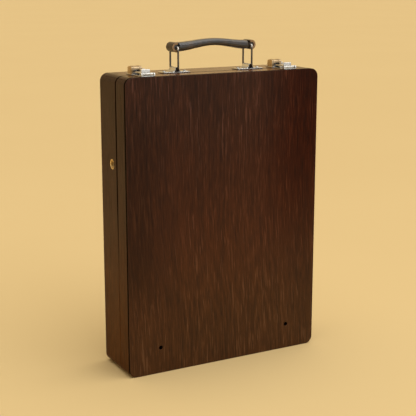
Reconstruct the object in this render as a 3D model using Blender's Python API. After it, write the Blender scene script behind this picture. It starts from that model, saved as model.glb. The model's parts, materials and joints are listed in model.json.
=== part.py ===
"""French box easel, closed and standing on its hinge edge.

The case is two shallow wooden trays that meet at a seam. The front tray is the
lid: it turns about an axis along the bottom of the seam. The rear tray is the
base: it carries the handle, the palette, the paint trays and the dividers.

Frame: +X to the right, +Y from the lid to the back, +Z up. The origin is the
centre of the footprint, at the standing face. Lengths are in metres.
"""

import math

import bmesh
import bpy
from mathutils import Vector

MM = 0.001

# Case
WIDTH = 324 * MM
HEIGHT = 445 * MM
DEPTH = 90.5 * MM
LID_SHARE = 0.376
CORNER_RADIUS = 12 * MM
BOARD = 12 * MM
PANEL = 3.7 * MM
GAP = 0.3 * MM

HALF_WIDTH = WIDTH / 2
FRONT = -DEPTH / 2
BACK = DEPTH / 2
SEAM = FRONT + LID_SHARE * DEPTH
LID_BOARD_FRONT = FRONT + PANEL + GAP
BASE_BOARD_BACK = BACK - PANEL - GAP
INNER_HALF_WIDTH = HALF_WIDTH - BOARD
CORNER_STEPS = 5

# Holes for the canvas pegs, low in the lid's front panel
PEG_HOLE_RADIUS = 3 * MM
PEG_HOLE_X = 111 * MM
PEG_HOLE_Z = 40 * MM

# Lid hinge: its axis lies in the seam, just above the standing face
HINGE_Z = 2.5 * MM
HINGE_X = 100 * MM
HINGE_LENGTH = 40 * MM
KNUCKLES = 5
KNUCKLE_RADIUS = 2.2 * MM
HINGE_BORE_RADIUS = 1.2 * MM
HINGE_PIN_RADIUS = 0.9 * MM
LEAF = 0.9 * MM
LEAF_TOP = 11.4 * MM
GROOVE_HALF_WIDTH = 4.2 * MM

# Lid stays: four equal arms between the hinge, a pivot on each half and the elbow
STAY_ARM = 145 * MM
STAY_SETBACK = 17 * MM
STAY_PIVOT_RISE = math.sqrt(STAY_ARM**2 - STAY_SETBACK**2)
STAY_WIDTH = 10 * MM
STAY_THICK = 2 * MM
BASE_BAR_X = 146.4 * MM
LID_BAR_X = 143.8 * MM
STAY_HOLE_RADIUS = 2.4 * MM
STAY_SHANK_RADIUS = 2.0 * MM

# Sockets through the sides of the base
SOCKET_Y = 6.5 * MM
SOCKET_Z = 315.5 * MM
SOCKET_FLANGE_RADIUS = 8 * MM
SOCKET_TUBE_RADIUS = 7 * MM
SOCKET_BORE_RADIUS = 6.25 * MM
SOCKET_FLANGE = 0.8 * MM
SOCKET_LENGTH = 5 * MM

# Carrying handle
HANDLE_Y = -0.5 * MM
HANDLE_X = 62.5 * MM
HANDLE_PIVOT_Z = HEIGHT + 4.8 * MM
HANDLE_TOP_Z = HEIGHT + 37 * MM
RING_HALF_DEPTH = 12.75 * MM
RING_WIRE = 1.4 * MM
RING_CORNER = 2 * MM
RING_BORE = 1.9 * MM
MOUNT_HALF_LENGTH = 23 * MM
MOUNT_HALF_DEPTH = 10.4 * MM
SADDLE_HALF_DEPTH = 10.4 * MM
SADDLE_RADIUS = 3.7 * MM
GRIP_HALF_LENGTH = 71 * MM
GRIP_HALF_DEPTH = 10.2 * MM
GRIP_END_HALF_HEIGHT = 7.2 * MM
GRIP_MID_HALF_HEIGHT = 5.5 * MM
GRIP_RISE = 6 * MM

# Catches across the top of the seam
LATCH_X = (-124.5 * MM, 113.5 * MM)
CASE_FRONT = -4 * MM
CASE_BACK = 10 * MM
CASE_HALF_WIDTH = 8.5 * MM
CASE_SHOULDER = 6.5 * MM
CASE_CROWN = 12 * MM
CASE_PLATE_HALF_WIDTH = 10.5 * MM
CASE_PLATE_FRONT = -9.5 * MM
CASE_PLATE_BACK = 13.5 * MM
CASE_PLATE = 1.2 * MM
CHANNEL_HALF_WIDTH = 4.8 * MM
CHANNEL_BACK = 1.8 * MM
CHANNEL_FLOOR = 3.2 * MM
BUTTON_Y = 5.8 * MM
BUTTON_Z = HEIGHT + 4.8 * MM
BUTTON_BORE = 2.3 * MM
BUTTON_ROD = 1.9 * MM
BUTTON_STROKE = 3 * MM
BUTTON_PAD = 4 * MM
HASP_PIVOT_Y = -39.2 * MM
HASP_PIVOT_Z = HEIGHT + 3.5 * MM
HASP_BARREL = 2.1 * MM
HASP_BORE = 1.2 * MM
HASP_PIN = 0.9 * MM

# Canvas clamp, inside the lid
RAIL_X = 100 * MM
RAIL_HALF_WIDTH = 9 * MM
RAIL_THICK = 8 * MM
RAIL_BOTTOM = 60 * MM
RAIL_TOP = 428 * MM
SLOT_HALF_WIDTH = 2.7 * MM
SLOT_HEAD_HALF_WIDTH = 5.2 * MM
SLOT_HEAD_DEPTH = 3 * MM
CLAMP_HALF_LENGTH = 125 * MM
CLAMP_Z = 406 * MM
CLAMP_HALF_HEIGHT = 11 * MM
CLAMP_THICK = 8 * MM

# Storage, inside the base
DIVIDER_X = 50 * MM
DIVIDER = 6 * MM
STORE_FRONT = -4 * MM
CROSS_DIVIDER_Z = 225 * MM
PALETTE_HALF_WIDTH = 134 * MM
PALETTE_BOTTOM = 17 * MM
PALETTE_TOP = 414 * MM
PALETTE = 4 * MM
THUMB_HOLE = (88 * MM, 330 * MM)
THUMB_HOLE_RADIUS = 16 * MM
LEDGE_TOP = 26 * MM
TURN_BUTTON_Z = 423 * MM
TRAY_HALF_WIDTH = 41 * MM
TRAY_X = 96 * MM
TRAY_BOTTOM = 30 * MM
TRAY_TOP = 270 * MM
TRAY_WALL = 1 * MM


def clear_scene():
    for old in list(bpy.data.objects):
        bpy.data.objects.remove(old, do_unlink=True)


def material(name, colour, roughness, metallic):
    made = bpy.data.materials.new(name)
    made.use_nodes = True
    shader = made.node_tree.nodes["Principled BSDF"]
    shader.inputs["Base Color"].default_value = (*colour, 1)
    shader.inputs["Roughness"].default_value = roughness
    shader.inputs["Metallic"].default_value = metallic
    return made


# Shapes. Each returns a bmesh in the frame's own coordinates.


def prism(outline, axis, low, high):
    """A closed outline in the plane across the axis, extruded from low to high along it.

    Outline points are (y, z) for axis X, (x, z) for axis Y and (x, y) for axis Z.
    """
    place = {
        "X": lambda a, b: (low, a, b),
        "Y": lambda a, b: (a, low, b),
        "Z": lambda a, b: (a, b, low),
    }[axis]
    along = {"X": (1, 0, 0), "Y": (0, 1, 0), "Z": (0, 0, 1)}[axis]
    bm = bmesh.new()
    face = bm.faces.new([bm.verts.new(place(a, b)) for a, b in outline])
    made = bmesh.ops.extrude_face_region(bm, geom=[face])
    moved = [v for v in made["geom"] if isinstance(v, bmesh.types.BMVert)]
    bmesh.ops.translate(bm, vec=Vector(along) * (high - low), verts=moved)
    bmesh.ops.recalc_face_normals(bm, faces=bm.faces)
    return bm


def block(x, y, z):
    """A box between the two values given for each axis."""
    return prism([(x[0], y[0]), (x[1], y[0]), (x[1], y[1]), (x[0], y[1])], "Z", *z)


def arc(centre, radius, start, end, steps):
    """Points on an arc, angles in degrees."""
    turns = [math.radians(start + (end - start) * i / steps) for i in range(steps + 1)]
    return [(centre[0] + radius * math.cos(t), centre[1] + radius * math.sin(t)) for t in turns]


def rod(axis, centre, radius, low, high, sides=20):
    """A cylinder along the axis. The centre is (y, z), (x, z) or (x, y), as in prism."""
    return prism(arc(centre, radius, 0, 360 - 360 / sides, sides - 1), axis, low, high)


def slot(axis, first, last, radius, low, high, steps=8):
    """A bar with round ends, between two centres in the plane across the axis."""
    turn = math.degrees(math.atan2(last[1] - first[1], last[0] - first[0]))
    ends = arc(last, radius, turn - 90, turn + 90, steps)
    ends += arc(first, radius, turn + 90, turn + 270, steps)
    return prism(ends, axis, low, high)


def loft(rings):
    """A closed skin through rings of points, with flat ends."""
    bm = bmesh.new()
    loops = [[bm.verts.new(p) for p in ring] for ring in rings]
    count = len(loops[0])
    for one, two in zip(loops, loops[1:]):
        for i in range(count):
            j = (i + 1) % count
            bm.faces.new((one[i], one[j], two[j], two[i]))
    bm.faces.new(loops[0])
    bm.faces.new(loops[-1])
    bmesh.ops.recalc_face_normals(bm, faces=bm.faces)
    return bm


# Objects


def place(name, bm, origin):
    """An object that holds the shape, with its own origin at the point given."""
    bmesh.ops.translate(bm, vec=-Vector(origin), verts=bm.verts)
    mesh = bpy.data.meshes.new(name)
    bm.to_mesh(mesh)
    bm.free()
    made = bpy.data.objects.new(name, mesh)
    made.location = origin
    bpy.context.scene.collection.objects.link(made)
    return made


def part(name, look, shape, join=(), cut=(), origin=(0, 0, 0), bevel=0):
    """One piece: a shape, the shapes joined to it, and the shapes cut from it."""
    made = place(name, shape, origin)
    made.data.materials.append(look)
    for kind, shapes in (("UNION", join), ("DIFFERENCE", cut)):
        for number, extra in enumerate(shapes, 1):
            helper = place(f"{name}_{kind.lower()}_{number}", extra, origin)
            helper.hide_render = True
            helper.display_type = "WIRE"
            boolean = made.modifiers.new(f"{kind.title()} {number}", "BOOLEAN")
            boolean.operation = kind
            boolean.object = helper
    if bevel:
        eased = made.modifiers.new("Eased edges", "BEVEL")
        eased.width = bevel
        eased.segments = 1
        eased.limit_method = "ANGLE"
        eased.angle_limit = math.radians(50)
    made.data.shade_smooth()
    made.data.set_sharp_from_angle(angle=math.radians(35))
    return made


# Case


def corner_centres():
    """The centres of the four rounded corners, from bottom left, anticlockwise."""
    x, low, high = HALF_WIDTH - CORNER_RADIUS, CORNER_RADIUS, HEIGHT - CORNER_RADIUS
    return [(-x, low), (x, low), (x, high), (-x, high)]


def board_outlines():
    """Outlines of the bottom, right, top and left boards, mitred at the corners."""
    centres = corner_centres()
    inner = [
        (-INNER_HALF_WIDTH, BOARD),
        (INNER_HALF_WIDTH, BOARD),
        (INNER_HALF_WIDTH, HEIGHT - BOARD),
        (-INNER_HALF_WIDTH, HEIGHT - BOARD),
    ]
    along = [(1, 0), (0, 1), (-1, 0), (0, -1)]
    mitre_turn = math.degrees(GAP / 2 / CORNER_RADIUS)
    mitre_shift = GAP / 2 * math.sqrt(2)
    outlines = []
    for side in range(4):
        after = (side + 1) % 4
        start = 225 + 90 * side
        dx, dz = along[side]
        points = arc(centres[side], CORNER_RADIUS, start + mitre_turn, start + 45, CORNER_STEPS)
        points += arc(
            centres[after], CORNER_RADIUS, start + 45, start + 90 - mitre_turn, CORNER_STEPS
        )
        points.append((inner[after][0] - dx * mitre_shift, inner[after][1] - dz * mitre_shift))
        points.append((inner[side][0] + dx * mitre_shift, inner[side][1] + dz * mitre_shift))
        outlines.append(points)
    return outlines


def panel_outline():
    points = []
    for number, centre in enumerate(corner_centres()):
        start = 180 + 90 * number
        points += arc(centre, CORNER_RADIUS, start, start + 90, 2 * CORNER_STEPS)
    return points


def hinge_cuts():
    """The groove along the bottom of the seam, and the recesses for both hinges."""
    below = -1 * MM
    spread = GROOVE_HALF_WIDTH * (HINGE_Z - below) / HINGE_Z
    outline = [(SEAM - spread, below), (SEAM + spread, below), (SEAM, HINGE_Z)]
    cuts = [prism(outline, "X", -HALF_WIDTH, HALF_WIDTH)]
    for side in (-1, 1):
        low = side * HINGE_X - HINGE_LENGTH / 2 - GAP
        high = side * HINGE_X + HINGE_LENGTH / 2 + GAP
        cuts.append(rod("X", (SEAM, HINGE_Z), KNUCKLE_RADIUS + 2 * GAP, low, high))
        leaves = LEAF + 2 * GAP
        cuts.append(block((low, high), (SEAM - leaves, SEAM + leaves), (HINGE_Z, BOARD + MM)))
    return cuts


def socket_cuts(side):
    """The hole through a side of the base, and the recess for the bush's flange."""
    wall = sorted((side * (HALF_WIDTH + MM), side * (INNER_HALF_WIDTH - MM)))
    recess = sorted((side * (HALF_WIDTH + MM), side * (HALF_WIDTH - SOCKET_FLANGE - GAP)))
    centre = (SOCKET_Y, SOCKET_Z)
    return [
        rod("X", centre, SOCKET_TUBE_RADIUS + GAP, *wall, sides=24),
        rod("X", centre, SOCKET_FLANGE_RADIUS + GAP, *recess, sides=24),
    ]


def case(wood):
    names = ("bottom", "right", "top", "left")
    halves = (
        ("base", SEAM + GAP / 2, BASE_BOARD_BACK),
        ("lid", LID_BOARD_FRONT, SEAM - GAP / 2),
    )
    for half, low, high in halves:
        for name, outline in zip(names, board_outlines()):
            cuts = []
            if name == "bottom":
                cuts = hinge_cuts()
            elif half == "base" and name in ("left", "right"):
                cuts = socket_cuts(-1 if name == "left" else 1)
            origin = (0, SEAM, HINGE_Z) if half == "lid" else (0, 0, 0)
            part(f"{half}_{name}_board", wood, prism(outline, "Y", low, high), cut=cuts, origin=origin)
    part("base_back_panel", wood, prism(panel_outline(), "Y", BACK - PANEL, BACK))
    holes = [
        rod("Y", (side * PEG_HOLE_X, PEG_HOLE_Z), PEG_HOLE_RADIUS, FRONT - MM, FRONT + PANEL + MM)
        for side in (-1, 1)
    ]
    panel = prism(panel_outline(), "Y", FRONT, FRONT + PANEL)
    part("lid_front_panel", wood, panel, cut=holes, origin=(0, SEAM, HINGE_Z))


def sockets(brass):
    centre = (SOCKET_Y, SOCKET_Z)
    for side, name in ((-1, "left"), (1, "right")):
        face = side * HALF_WIDTH
        flange = rod(
            "X", centre, SOCKET_FLANGE_RADIUS, *sorted((face, face - side * SOCKET_FLANGE)), sides=24
        )
        tube = rod(
            "X",
            centre,
            SOCKET_TUBE_RADIUS,
            *sorted((face - side * SOCKET_FLANGE / 2, face - side * SOCKET_LENGTH)),
            sides=24,
        )
        bore = rod(
            "X",
            centre,
            SOCKET_BORE_RADIUS,
            *sorted((face + side * MM, face - side * (SOCKET_LENGTH + MM))),
            sides=24,
        )
        part(f"socket_bush_{name}", brass, flange, join=[tube], cut=[bore])


# Hinges


def hinge_leaf(name, metal, centre_x, side):
    """A leaf in the seam with its own knuckles. The side is 1 for the base, -1 for the lid."""
    near, far = SEAM + side * GAP / 2, SEAM + side * (GAP / 2 + LEAF)
    thickness = sorted((near, far))
    low = centre_x - HINGE_LENGTH / 2
    high = centre_x + HINGE_LENGTH / 2
    pitch = HINGE_LENGTH / KNUCKLES
    joins = []
    for number in range(KNUCKLES):
        if (number % 2 == 0) == (side > 0):
            start = low + number * pitch + GAP / 2
            end = start + pitch - GAP
            joins.append(rod("X", (SEAM, HINGE_Z), KNUCKLE_RADIUS, start, end, sides=16))
            joins.append(block((start, end), thickness, (HINGE_Z + MM, HINGE_Z + 4 * MM)))
    leaf_bottom = HINGE_Z + KNUCKLE_RADIUS + GAP
    leaf = block((low, high), thickness, (leaf_bottom, LEAF_TOP))
    bore = rod("X", (SEAM, HINGE_Z), HINGE_BORE_RADIUS, low - MM, high + MM, sides=16)
    origin = (centre_x, SEAM, HINGE_Z)
    part(name, metal, leaf, join=joins, cut=[bore], origin=origin)


def hinges(metal):
    for side, name in ((-1, "left"), (1, "right")):
        x = side * HINGE_X
        hinge_leaf(f"hinge_base_leaf_{name}", metal, x, 1)
        hinge_leaf(f"hinge_lid_leaf_{name}", metal, x, -1)
        low, high = x - HINGE_LENGTH / 2, x + HINGE_LENGTH / 2
        pin = rod("X", (SEAM, HINGE_Z), HINGE_PIN_RADIUS, low, high, sides=12)
        part(f"hinge_pin_{name}", metal, pin)


# Stays


def stay_points():
    """The pivots on the lid and on the base, and the elbow, as (y, z)."""
    lid_pivot = (SEAM - STAY_SETBACK, HINGE_Z + STAY_PIVOT_RISE)
    base_pivot = (SEAM + STAY_SETBACK, HINGE_Z + STAY_PIVOT_RISE)
    elbow = (SEAM, HINGE_Z + 2 * STAY_PIVOT_RISE)
    return lid_pivot, base_pivot, elbow


def stay_pivot(name, metal, side, centre, bar_x):
    """A foot against the wall, a shank through the bar, and a head."""
    wall = side * (INNER_HALF_WIDTH - GAP)
    collar = side * (bar_x + STAY_THICK + GAP)
    head = side * (bar_x - GAP)
    tip = side * (bar_x - GAP - 1.2 * MM)
    foot = rod("X", centre, 4.6 * MM, *sorted((wall, collar)), sides=16)
    shank = rod("X", centre, STAY_SHANK_RADIUS, *sorted((wall - side * 0.5 * MM, tip)), sides=16)
    cap = rod("X", centre, 3.8 * MM, *sorted((head, tip)), sides=16)
    part(name, metal, foot, join=[shank, cap])


def stay_bar(name, metal, side, first, last, bar_x):
    span = sorted((side * bar_x, side * (bar_x + STAY_THICK)))
    bar = slot("X", first, last, STAY_WIDTH / 2, *span)
    beyond = (span[0] - MM, span[1] + MM)
    holes = [rod("X", end, STAY_HOLE_RADIUS, *beyond, sides=16) for end in (first, last)]
    part(name, metal, bar, cut=holes, origin=(side * bar_x, *first))


def stay_screw(name, metal, side, centre):
    """The elbow's screw: a flat head outside, a shank, and a winged knob inside."""
    outer = side * (BASE_BAR_X + STAY_THICK + GAP)
    knob_face = side * (LID_BAR_X - GAP)
    knob_end = side * (LID_BAR_X - GAP - 5 * MM)
    head = rod("X", centre, 4.4 * MM, *sorted((outer, outer + side * MM)), sides=16)
    shank = rod("X", centre, STAY_SHANK_RADIUS, *sorted((outer + side * 0.5 * MM, knob_end)), sides=16)
    knob = rod("X", centre, 4 * MM, *sorted((knob_face, knob_end)), sides=16)
    low = (centre[0], centre[1] - 7.5 * MM)
    high = (centre[0], centre[1] + 7.5 * MM)
    wing_span = sorted((knob_face - side * 2 * MM, knob_end - side * 3 * MM))
    wings = slot("X", low, high, 1.3 * MM, *wing_span, steps=4)
    part(name, metal, head, join=[shank, knob, wings], origin=(side * LID_BAR_X, *centre))


def stays(metal):
    lid_pivot, base_pivot, elbow = stay_points()
    for side, name in ((-1, "left"), (1, "right")):
        stay_pivot(f"stay_base_pivot_{name}", metal, side, base_pivot, BASE_BAR_X)
        stay_pivot(f"stay_lid_pivot_{name}", metal, side, lid_pivot, LID_BAR_X)
        stay_bar(f"stay_base_bar_{name}", metal, side, base_pivot, elbow, BASE_BAR_X)
        stay_bar(f"stay_lid_bar_{name}", metal, side, lid_pivot, elbow, LID_BAR_X)
        stay_screw(f"stay_screw_{name}", metal, side, elbow)


# Handle


def handle_mount(name, metal, x):
    """A base plate with a raised saddle, which the ring's lower bar runs through."""
    floor = HEIGHT + GAP
    deck = floor + 1.5 * MM
    front, back = HANDLE_Y - MOUNT_HALF_DEPTH, HANDLE_Y + MOUNT_HALF_DEPTH
    plate = block((x - MOUNT_HALF_LENGTH, x + MOUNT_HALF_LENGTH), (front, back), (floor, deck))
    foot = deck - 0.5 * MM
    bell = [(x - 7 * MM, foot), (x + 7 * MM, foot), (x + 4.2 * MM, HANDLE_PIVOT_Z - 1.5 * MM)]
    bell += arc((x, HANDLE_PIVOT_Z), SADDLE_RADIUS, 0, 180, 8)
    bell.append((x - 4.2 * MM, HANDLE_PIVOT_Z - 1.5 * MM))
    depth = (HANDLE_Y - SADDLE_HALF_DEPTH, HANDLE_Y + SADDLE_HALF_DEPTH)
    saddle = prism(bell, "Y", *depth)
    bore = rod("Y", (x, HANDLE_PIVOT_Z), RING_BORE, front - MM, back + MM, sides=16)
    screws = [
        rod("Z", (x + 17 * MM * side, HANDLE_Y), 3 * MM, deck - 0.5 * MM, deck + 0.8 * MM, sides=12)
        for side in (-1, 1)
    ]
    part(name, metal, plate, join=[saddle, *screws], cut=[bore])


def handle_ring(name, metal, x):
    """A wire loop: a bar through the saddle, two legs and a bar through the grip."""
    route = []
    low, high = HANDLE_PIVOT_Z, HANDLE_TOP_Z
    near, far = HANDLE_Y - RING_HALF_DEPTH, HANDLE_Y + RING_HALF_DEPTH
    bends = ((near, low, 180), (far, low, 270), (far, high, 0), (near, high, 90))
    for y, z, start in bends:
        inward_y = RING_CORNER if y == near else -RING_CORNER
        inward_z = RING_CORNER if z == low else -RING_CORNER
        route += arc((y + inward_y, z + inward_z), RING_CORNER, start, start + 90, 3)
    data = bpy.data.curves.new(name, "CURVE")
    data.dimensions = "3D"
    data.bevel_depth = RING_WIRE
    data.bevel_resolution = 2
    spline = data.splines.new("POLY")
    spline.points.add(len(route) - 1)
    for point, (y, z) in zip(spline.points, route):
        point.co = (0, y - HANDLE_Y, z - HANDLE_PIVOT_Z, 1)
    spline.use_cyclic_u = True
    made = bpy.data.objects.new(name, data)
    made.location = (x, HANDLE_Y, HANDLE_PIVOT_Z)
    made.data.materials.append(metal)
    bpy.context.scene.collection.objects.link(made)


def grip_ring(x):
    """The grip's cross-section at x: flatter and higher towards the middle."""
    share = min(abs(x) / HANDLE_X, 1)
    blend = 0.5 - 0.5 * math.cos(math.pi * share)
    half_height = GRIP_MID_HALF_HEIGHT + (GRIP_END_HALF_HEIGHT - GRIP_MID_HALF_HEIGHT) * blend
    over = max(0, abs(x) - HANDLE_X) / (GRIP_HALF_LENGTH - HANDLE_X)
    half_height *= math.sqrt(1 - 0.55 * over**2)
    centre_z = HANDLE_TOP_Z + GRIP_RISE * (1 - blend)
    sides, corner = 16, 0.55
    points = []
    for i in range(sides):
        turn = 2 * math.pi * i / sides
        y = math.copysign(abs(math.cos(turn)) ** corner, math.cos(turn))
        z = math.copysign(abs(math.sin(turn)) ** corner, math.sin(turn))
        points.append((x, HANDLE_Y + GRIP_HALF_DEPTH * y, centre_z + half_height * z))
    return points


def handle(metal, leather):
    for side, name in ((-1, "left"), (1, "right")):
        handle_mount(f"handle_mount_{name}", metal, side * HANDLE_X)
        handle_ring(f"handle_ring_{name}", metal, side * HANDLE_X)
    inner = [HANDLE_X * i / 6 for i in range(-6, 7)]
    ends = (HANDLE_X + 3.5 * MM, HANDLE_X + 5.5 * MM, GRIP_HALF_LENGTH)
    stations = [-x for x in reversed(ends)] + inner + list(ends)
    bores = [
        rod("Y", (side * HANDLE_X, HANDLE_TOP_Z), RING_BORE, HANDLE_Y - 14 * MM, HANDLE_Y + 14 * MM, 16)
        for side in (-1, 1)
    ]
    origin = (-HANDLE_X, HANDLE_Y, HANDLE_TOP_Z)
    part("handle_grip", leather, loft([grip_ring(x) for x in stations]), cut=bores, origin=origin)


# Catches


def latch_case(name, metal, x):
    """The housing on the base: a plate, and a curved cover with a channel for the hasp's tongue."""
    middle, half = (CASE_FRONT + CASE_BACK) / 2, (CASE_BACK - CASE_FRONT) / 2
    outline = [(CASE_BACK, HEIGHT + GAP)]
    steps = 8
    for i in range(steps + 1):
        turn = math.pi * i / steps
        rise = (CASE_CROWN - CASE_SHOULDER) * math.sin(turn)
        outline.append((middle + half * math.cos(turn), HEIGHT + CASE_SHOULDER + rise))
    outline.append((CASE_FRONT, HEIGHT + GAP))
    cover = prism(outline, "X", x - CASE_HALF_WIDTH, x + CASE_HALF_WIDTH)
    plate = block(
        (x - CASE_PLATE_HALF_WIDTH, x + CASE_PLATE_HALF_WIDTH),
        (CASE_PLATE_FRONT, CASE_PLATE_BACK),
        (HEIGHT + GAP, HEIGHT + GAP + CASE_PLATE),
    )
    channel = block(
        (x - CHANNEL_HALF_WIDTH, x + CHANNEL_HALF_WIDTH),
        (CASE_FRONT - MM, CHANNEL_BACK),
        (HEIGHT + CHANNEL_FLOOR, HEIGHT + CASE_CROWN + MM),
    )
    bore_end = x - 6.5 * MM
    bore = rod("X", (BUTTON_Y, BUTTON_Z), BUTTON_BORE, bore_end, x + CASE_HALF_WIDTH + MM, 12)
    part(name, metal, plate, join=[cover], cut=[channel, bore])


def latch_button(name, metal, x):
    """A rod in the housing's bore with a thumb pad outside it."""
    pad_x = x + CASE_HALF_WIDTH + GAP + BUTTON_STROKE
    shaft = rod("X", (BUTTON_Y, BUTTON_Z), BUTTON_ROD, x, pad_x + MM, 12)
    pad_depth = (BUTTON_Y - 3.5 * MM, BUTTON_Y + 3.5 * MM)
    pad = block((pad_x, pad_x + BUTTON_PAD), pad_depth, (HEIGHT + 1.8 * MM, HEIGHT + 7.5 * MM))
    part(name, metal, shaft, join=[pad], origin=(x, BUTTON_Y, BUTTON_Z))


def latch_spring(name, metal, x):
    """A small coil between the end of the bore and the button's rod."""
    turns, per_turn, sides = 4, 8, 5
    coil, wire = 1.5 * MM, 0.28 * MM
    start, end = x - 5.8 * MM, x - 0.7 * MM
    rings = []
    for i in range(turns * per_turn + 1):
        turn = 2 * math.pi * i / per_turn
        outward = Vector((0, math.cos(turn), math.sin(turn)))
        centre = Vector((start + (end - start) * i / (turns * per_turn), BUTTON_Y, BUTTON_Z))
        centre += outward * coil
        ring = []
        for j in range(sides):
            around = 2 * math.pi * j / sides
            ring.append(centre + outward * wire * math.cos(around) + Vector((wire * math.sin(around), 0, 0)))
        rings.append(ring)
    part(name, metal, loft(rings))


def hasp_plate(name, metal, x):
    """The plate on the lid, with an ear at each side for the hasp's pin."""
    floor = HEIGHT + GAP
    plate = block((x - 11 * MM, x + 11 * MM), (-42.4 * MM, -13.5 * MM), (floor, floor + 1.1 * MM))
    ears, bores = [], []
    for side in (-1, 1):
        span = sorted((x + side * 8.7 * MM, x + side * 11 * MM))
        ears.append(block(span, (-42.4 * MM, -36 * MM), (floor + 0.5 * MM, HEIGHT + 5.8 * MM)))
        bores.append(rod("X", (HASP_PIVOT_Y, HASP_PIVOT_Z), HASP_BORE, span[0] - MM, span[1] + MM, 12))
    part(name, metal, plate, join=ears, cut=bores)


def hasp(name, metal, x):
    """A flat strap on the pin, a raised finger lift, and a tongue in the housing's channel."""
    top, under = HEIGHT + 5.6 * MM, HEIGHT + 4.1 * MM
    lift_depth = (-34.5 * MM, -28 * MM)
    lift = block((x - 7 * MM, x + 6.5 * MM), lift_depth, (under + 0.5 * MM, HEIGHT + 10 * MM))
    strap = block((x - 8.3 * MM, x + 8.3 * MM), (HASP_PIVOT_Y, -14 * MM), (under, top))
    barrel = rod("X", (HASP_PIVOT_Y, HASP_PIVOT_Z), HASP_BARREL, x - 8.3 * MM, x + 8.3 * MM, 16)
    tongue = block((x - 4 * MM, x + 4 * MM), (-15 * MM, CHANNEL_BACK - 0.8 * MM), (under, top))
    bore = rod("X", (HASP_PIVOT_Y, HASP_PIVOT_Z), HASP_BORE, x - 9 * MM, x + 9 * MM, 12)
    origin = (x, HASP_PIVOT_Y, HASP_PIVOT_Z)
    part(name, metal, strap, join=[barrel, tongue, lift], cut=[bore], origin=origin)


def catches(metal, dark_metal):
    for x, name in zip(LATCH_X, ("left", "right")):
        latch_case(f"latch_case_{name}", metal, x)
        latch_button(f"latch_button_{name}", metal, x)
        latch_spring(f"latch_spring_{name}", dark_metal, x)
        hasp_plate(f"hasp_plate_{name}", metal, x)
        hasp(f"hasp_{name}", metal, x)
        pin = rod("X", (HASP_PIVOT_Y, HASP_PIVOT_Z), HASP_PIN, x - 10.8 * MM, x + 10.8 * MM, 10)
        part(f"hasp_pin_{name}", dark_metal, pin)


# Easel parts, inside the lid


def clamp_rail(name, wood, x):
    """A wooden rail with a slot along it, wider behind for the head of the clamp's screw."""
    back, face = LID_BOARD_FRONT, LID_BOARD_FRONT + RAIL_THICK
    rail = block((x - RAIL_HALF_WIDTH, x + RAIL_HALF_WIDTH), (back, face), (RAIL_BOTTOM, RAIL_TOP))
    low, high = RAIL_BOTTOM + 12 * MM, RAIL_TOP - 8 * MM
    narrow = block((x - SLOT_HALF_WIDTH, x + SLOT_HALF_WIDTH), (back - MM, face + MM), (low, high))
    wide = block(
        (x - SLOT_HEAD_HALF_WIDTH, x + SLOT_HEAD_HALF_WIDTH), (back - MM, back + SLOT_HEAD_DEPTH), (low, high)
    )
    part(name, wood, rail, cut=[narrow, wide])


def clamp_screw(name, metal, x):
    """A screw with its flat head in the rail's slot and a winged knob on the clamp."""
    centre = (x, CLAMP_Z)
    head_back = LID_BOARD_FRONT + GAP
    bar_face = LID_BOARD_FRONT + RAIL_THICK + GAP + CLAMP_THICK
    knob = bar_face + GAP
    head = rod("Y", centre, 4.6 * MM, head_back, head_back + 1.8 * MM, 16)
    shank = rod("Y", centre, 2.2 * MM, head_back + MM, knob + MM, 16)
    collar = rod("Y", centre, 4.5 * MM, knob, knob + 4 * MM, 16)
    tips = [(x + side * 8 * MM, CLAMP_Z) for side in (-1, 1)]
    wings = slot("Y", *tips, 1.5 * MM, knob + 1.5 * MM, knob + 7 * MM, steps=4)
    part(name, metal, head, join=[shank, collar, wings], origin=(x, knob, CLAMP_Z))


def easel_parts(wood, metal):
    back = LID_BOARD_FRONT + RAIL_THICK + GAP
    face = back + CLAMP_THICK
    low, high = CLAMP_Z - CLAMP_HALF_HEIGHT, CLAMP_Z + CLAMP_HALF_HEIGHT
    lip = 3 * MM
    profile = [(back, low), (face, low), (face, high), (back, high)]
    profile[1:1] = [
        (back + lip, low),
        (back + lip, low + lip),
        (face - lip / 2, low + lip),
        (face - lip / 2, low),
    ]
    bar = prism(profile, "X", -CLAMP_HALF_LENGTH, CLAMP_HALF_LENGTH)
    holes = []
    for side, name in ((-1, "left"), (1, "right")):
        clamp_rail(f"clamp_rail_{name}", wood, side * RAIL_X)
        clamp_screw(f"clamp_screw_{name}", metal, side * RAIL_X)
        holes.append(rod("Y", (side * RAIL_X, CLAMP_Z), 2.6 * MM, back - MM, face + MM, 16))
    part("clamp_bar", wood, bar, cut=holes, origin=(0, back, CLAMP_Z))


# Storage, inside the base


def palette(wood):
    face, back = STORE_FRONT - GAP - PALETTE, STORE_FRONT - GAP
    board = block((-PALETTE_HALF_WIDTH, PALETTE_HALF_WIDTH), (face, back), (PALETTE_BOTTOM, PALETTE_TOP))
    hole = rod("Y", THUMB_HOLE, THUMB_HOLE_RADIUS, face - MM, back + MM, 20)
    part("palette", wood, board, cut=[hole], bevel=0.8 * MM)


def palette_ledge(wood):
    """A batten with a groove that holds the palette's lower edge."""
    front, back = STORE_FRONT - 2 * GAP - PALETTE - 2 * MM, STORE_FRONT - GAP
    batten = block((-PALETTE_HALF_WIDTH, PALETTE_HALF_WIDTH), (front, back), (BOARD + GAP, LEDGE_TOP))
    groove = block(
        (-PALETTE_HALF_WIDTH - MM, PALETTE_HALF_WIDTH + MM),
        (front + 2 * MM, back + MM),
        (PALETTE_BOTTOM - GAP, LEDGE_TOP + MM),
    )
    part("palette_ledge", wood, batten, cut=[groove])


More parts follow.
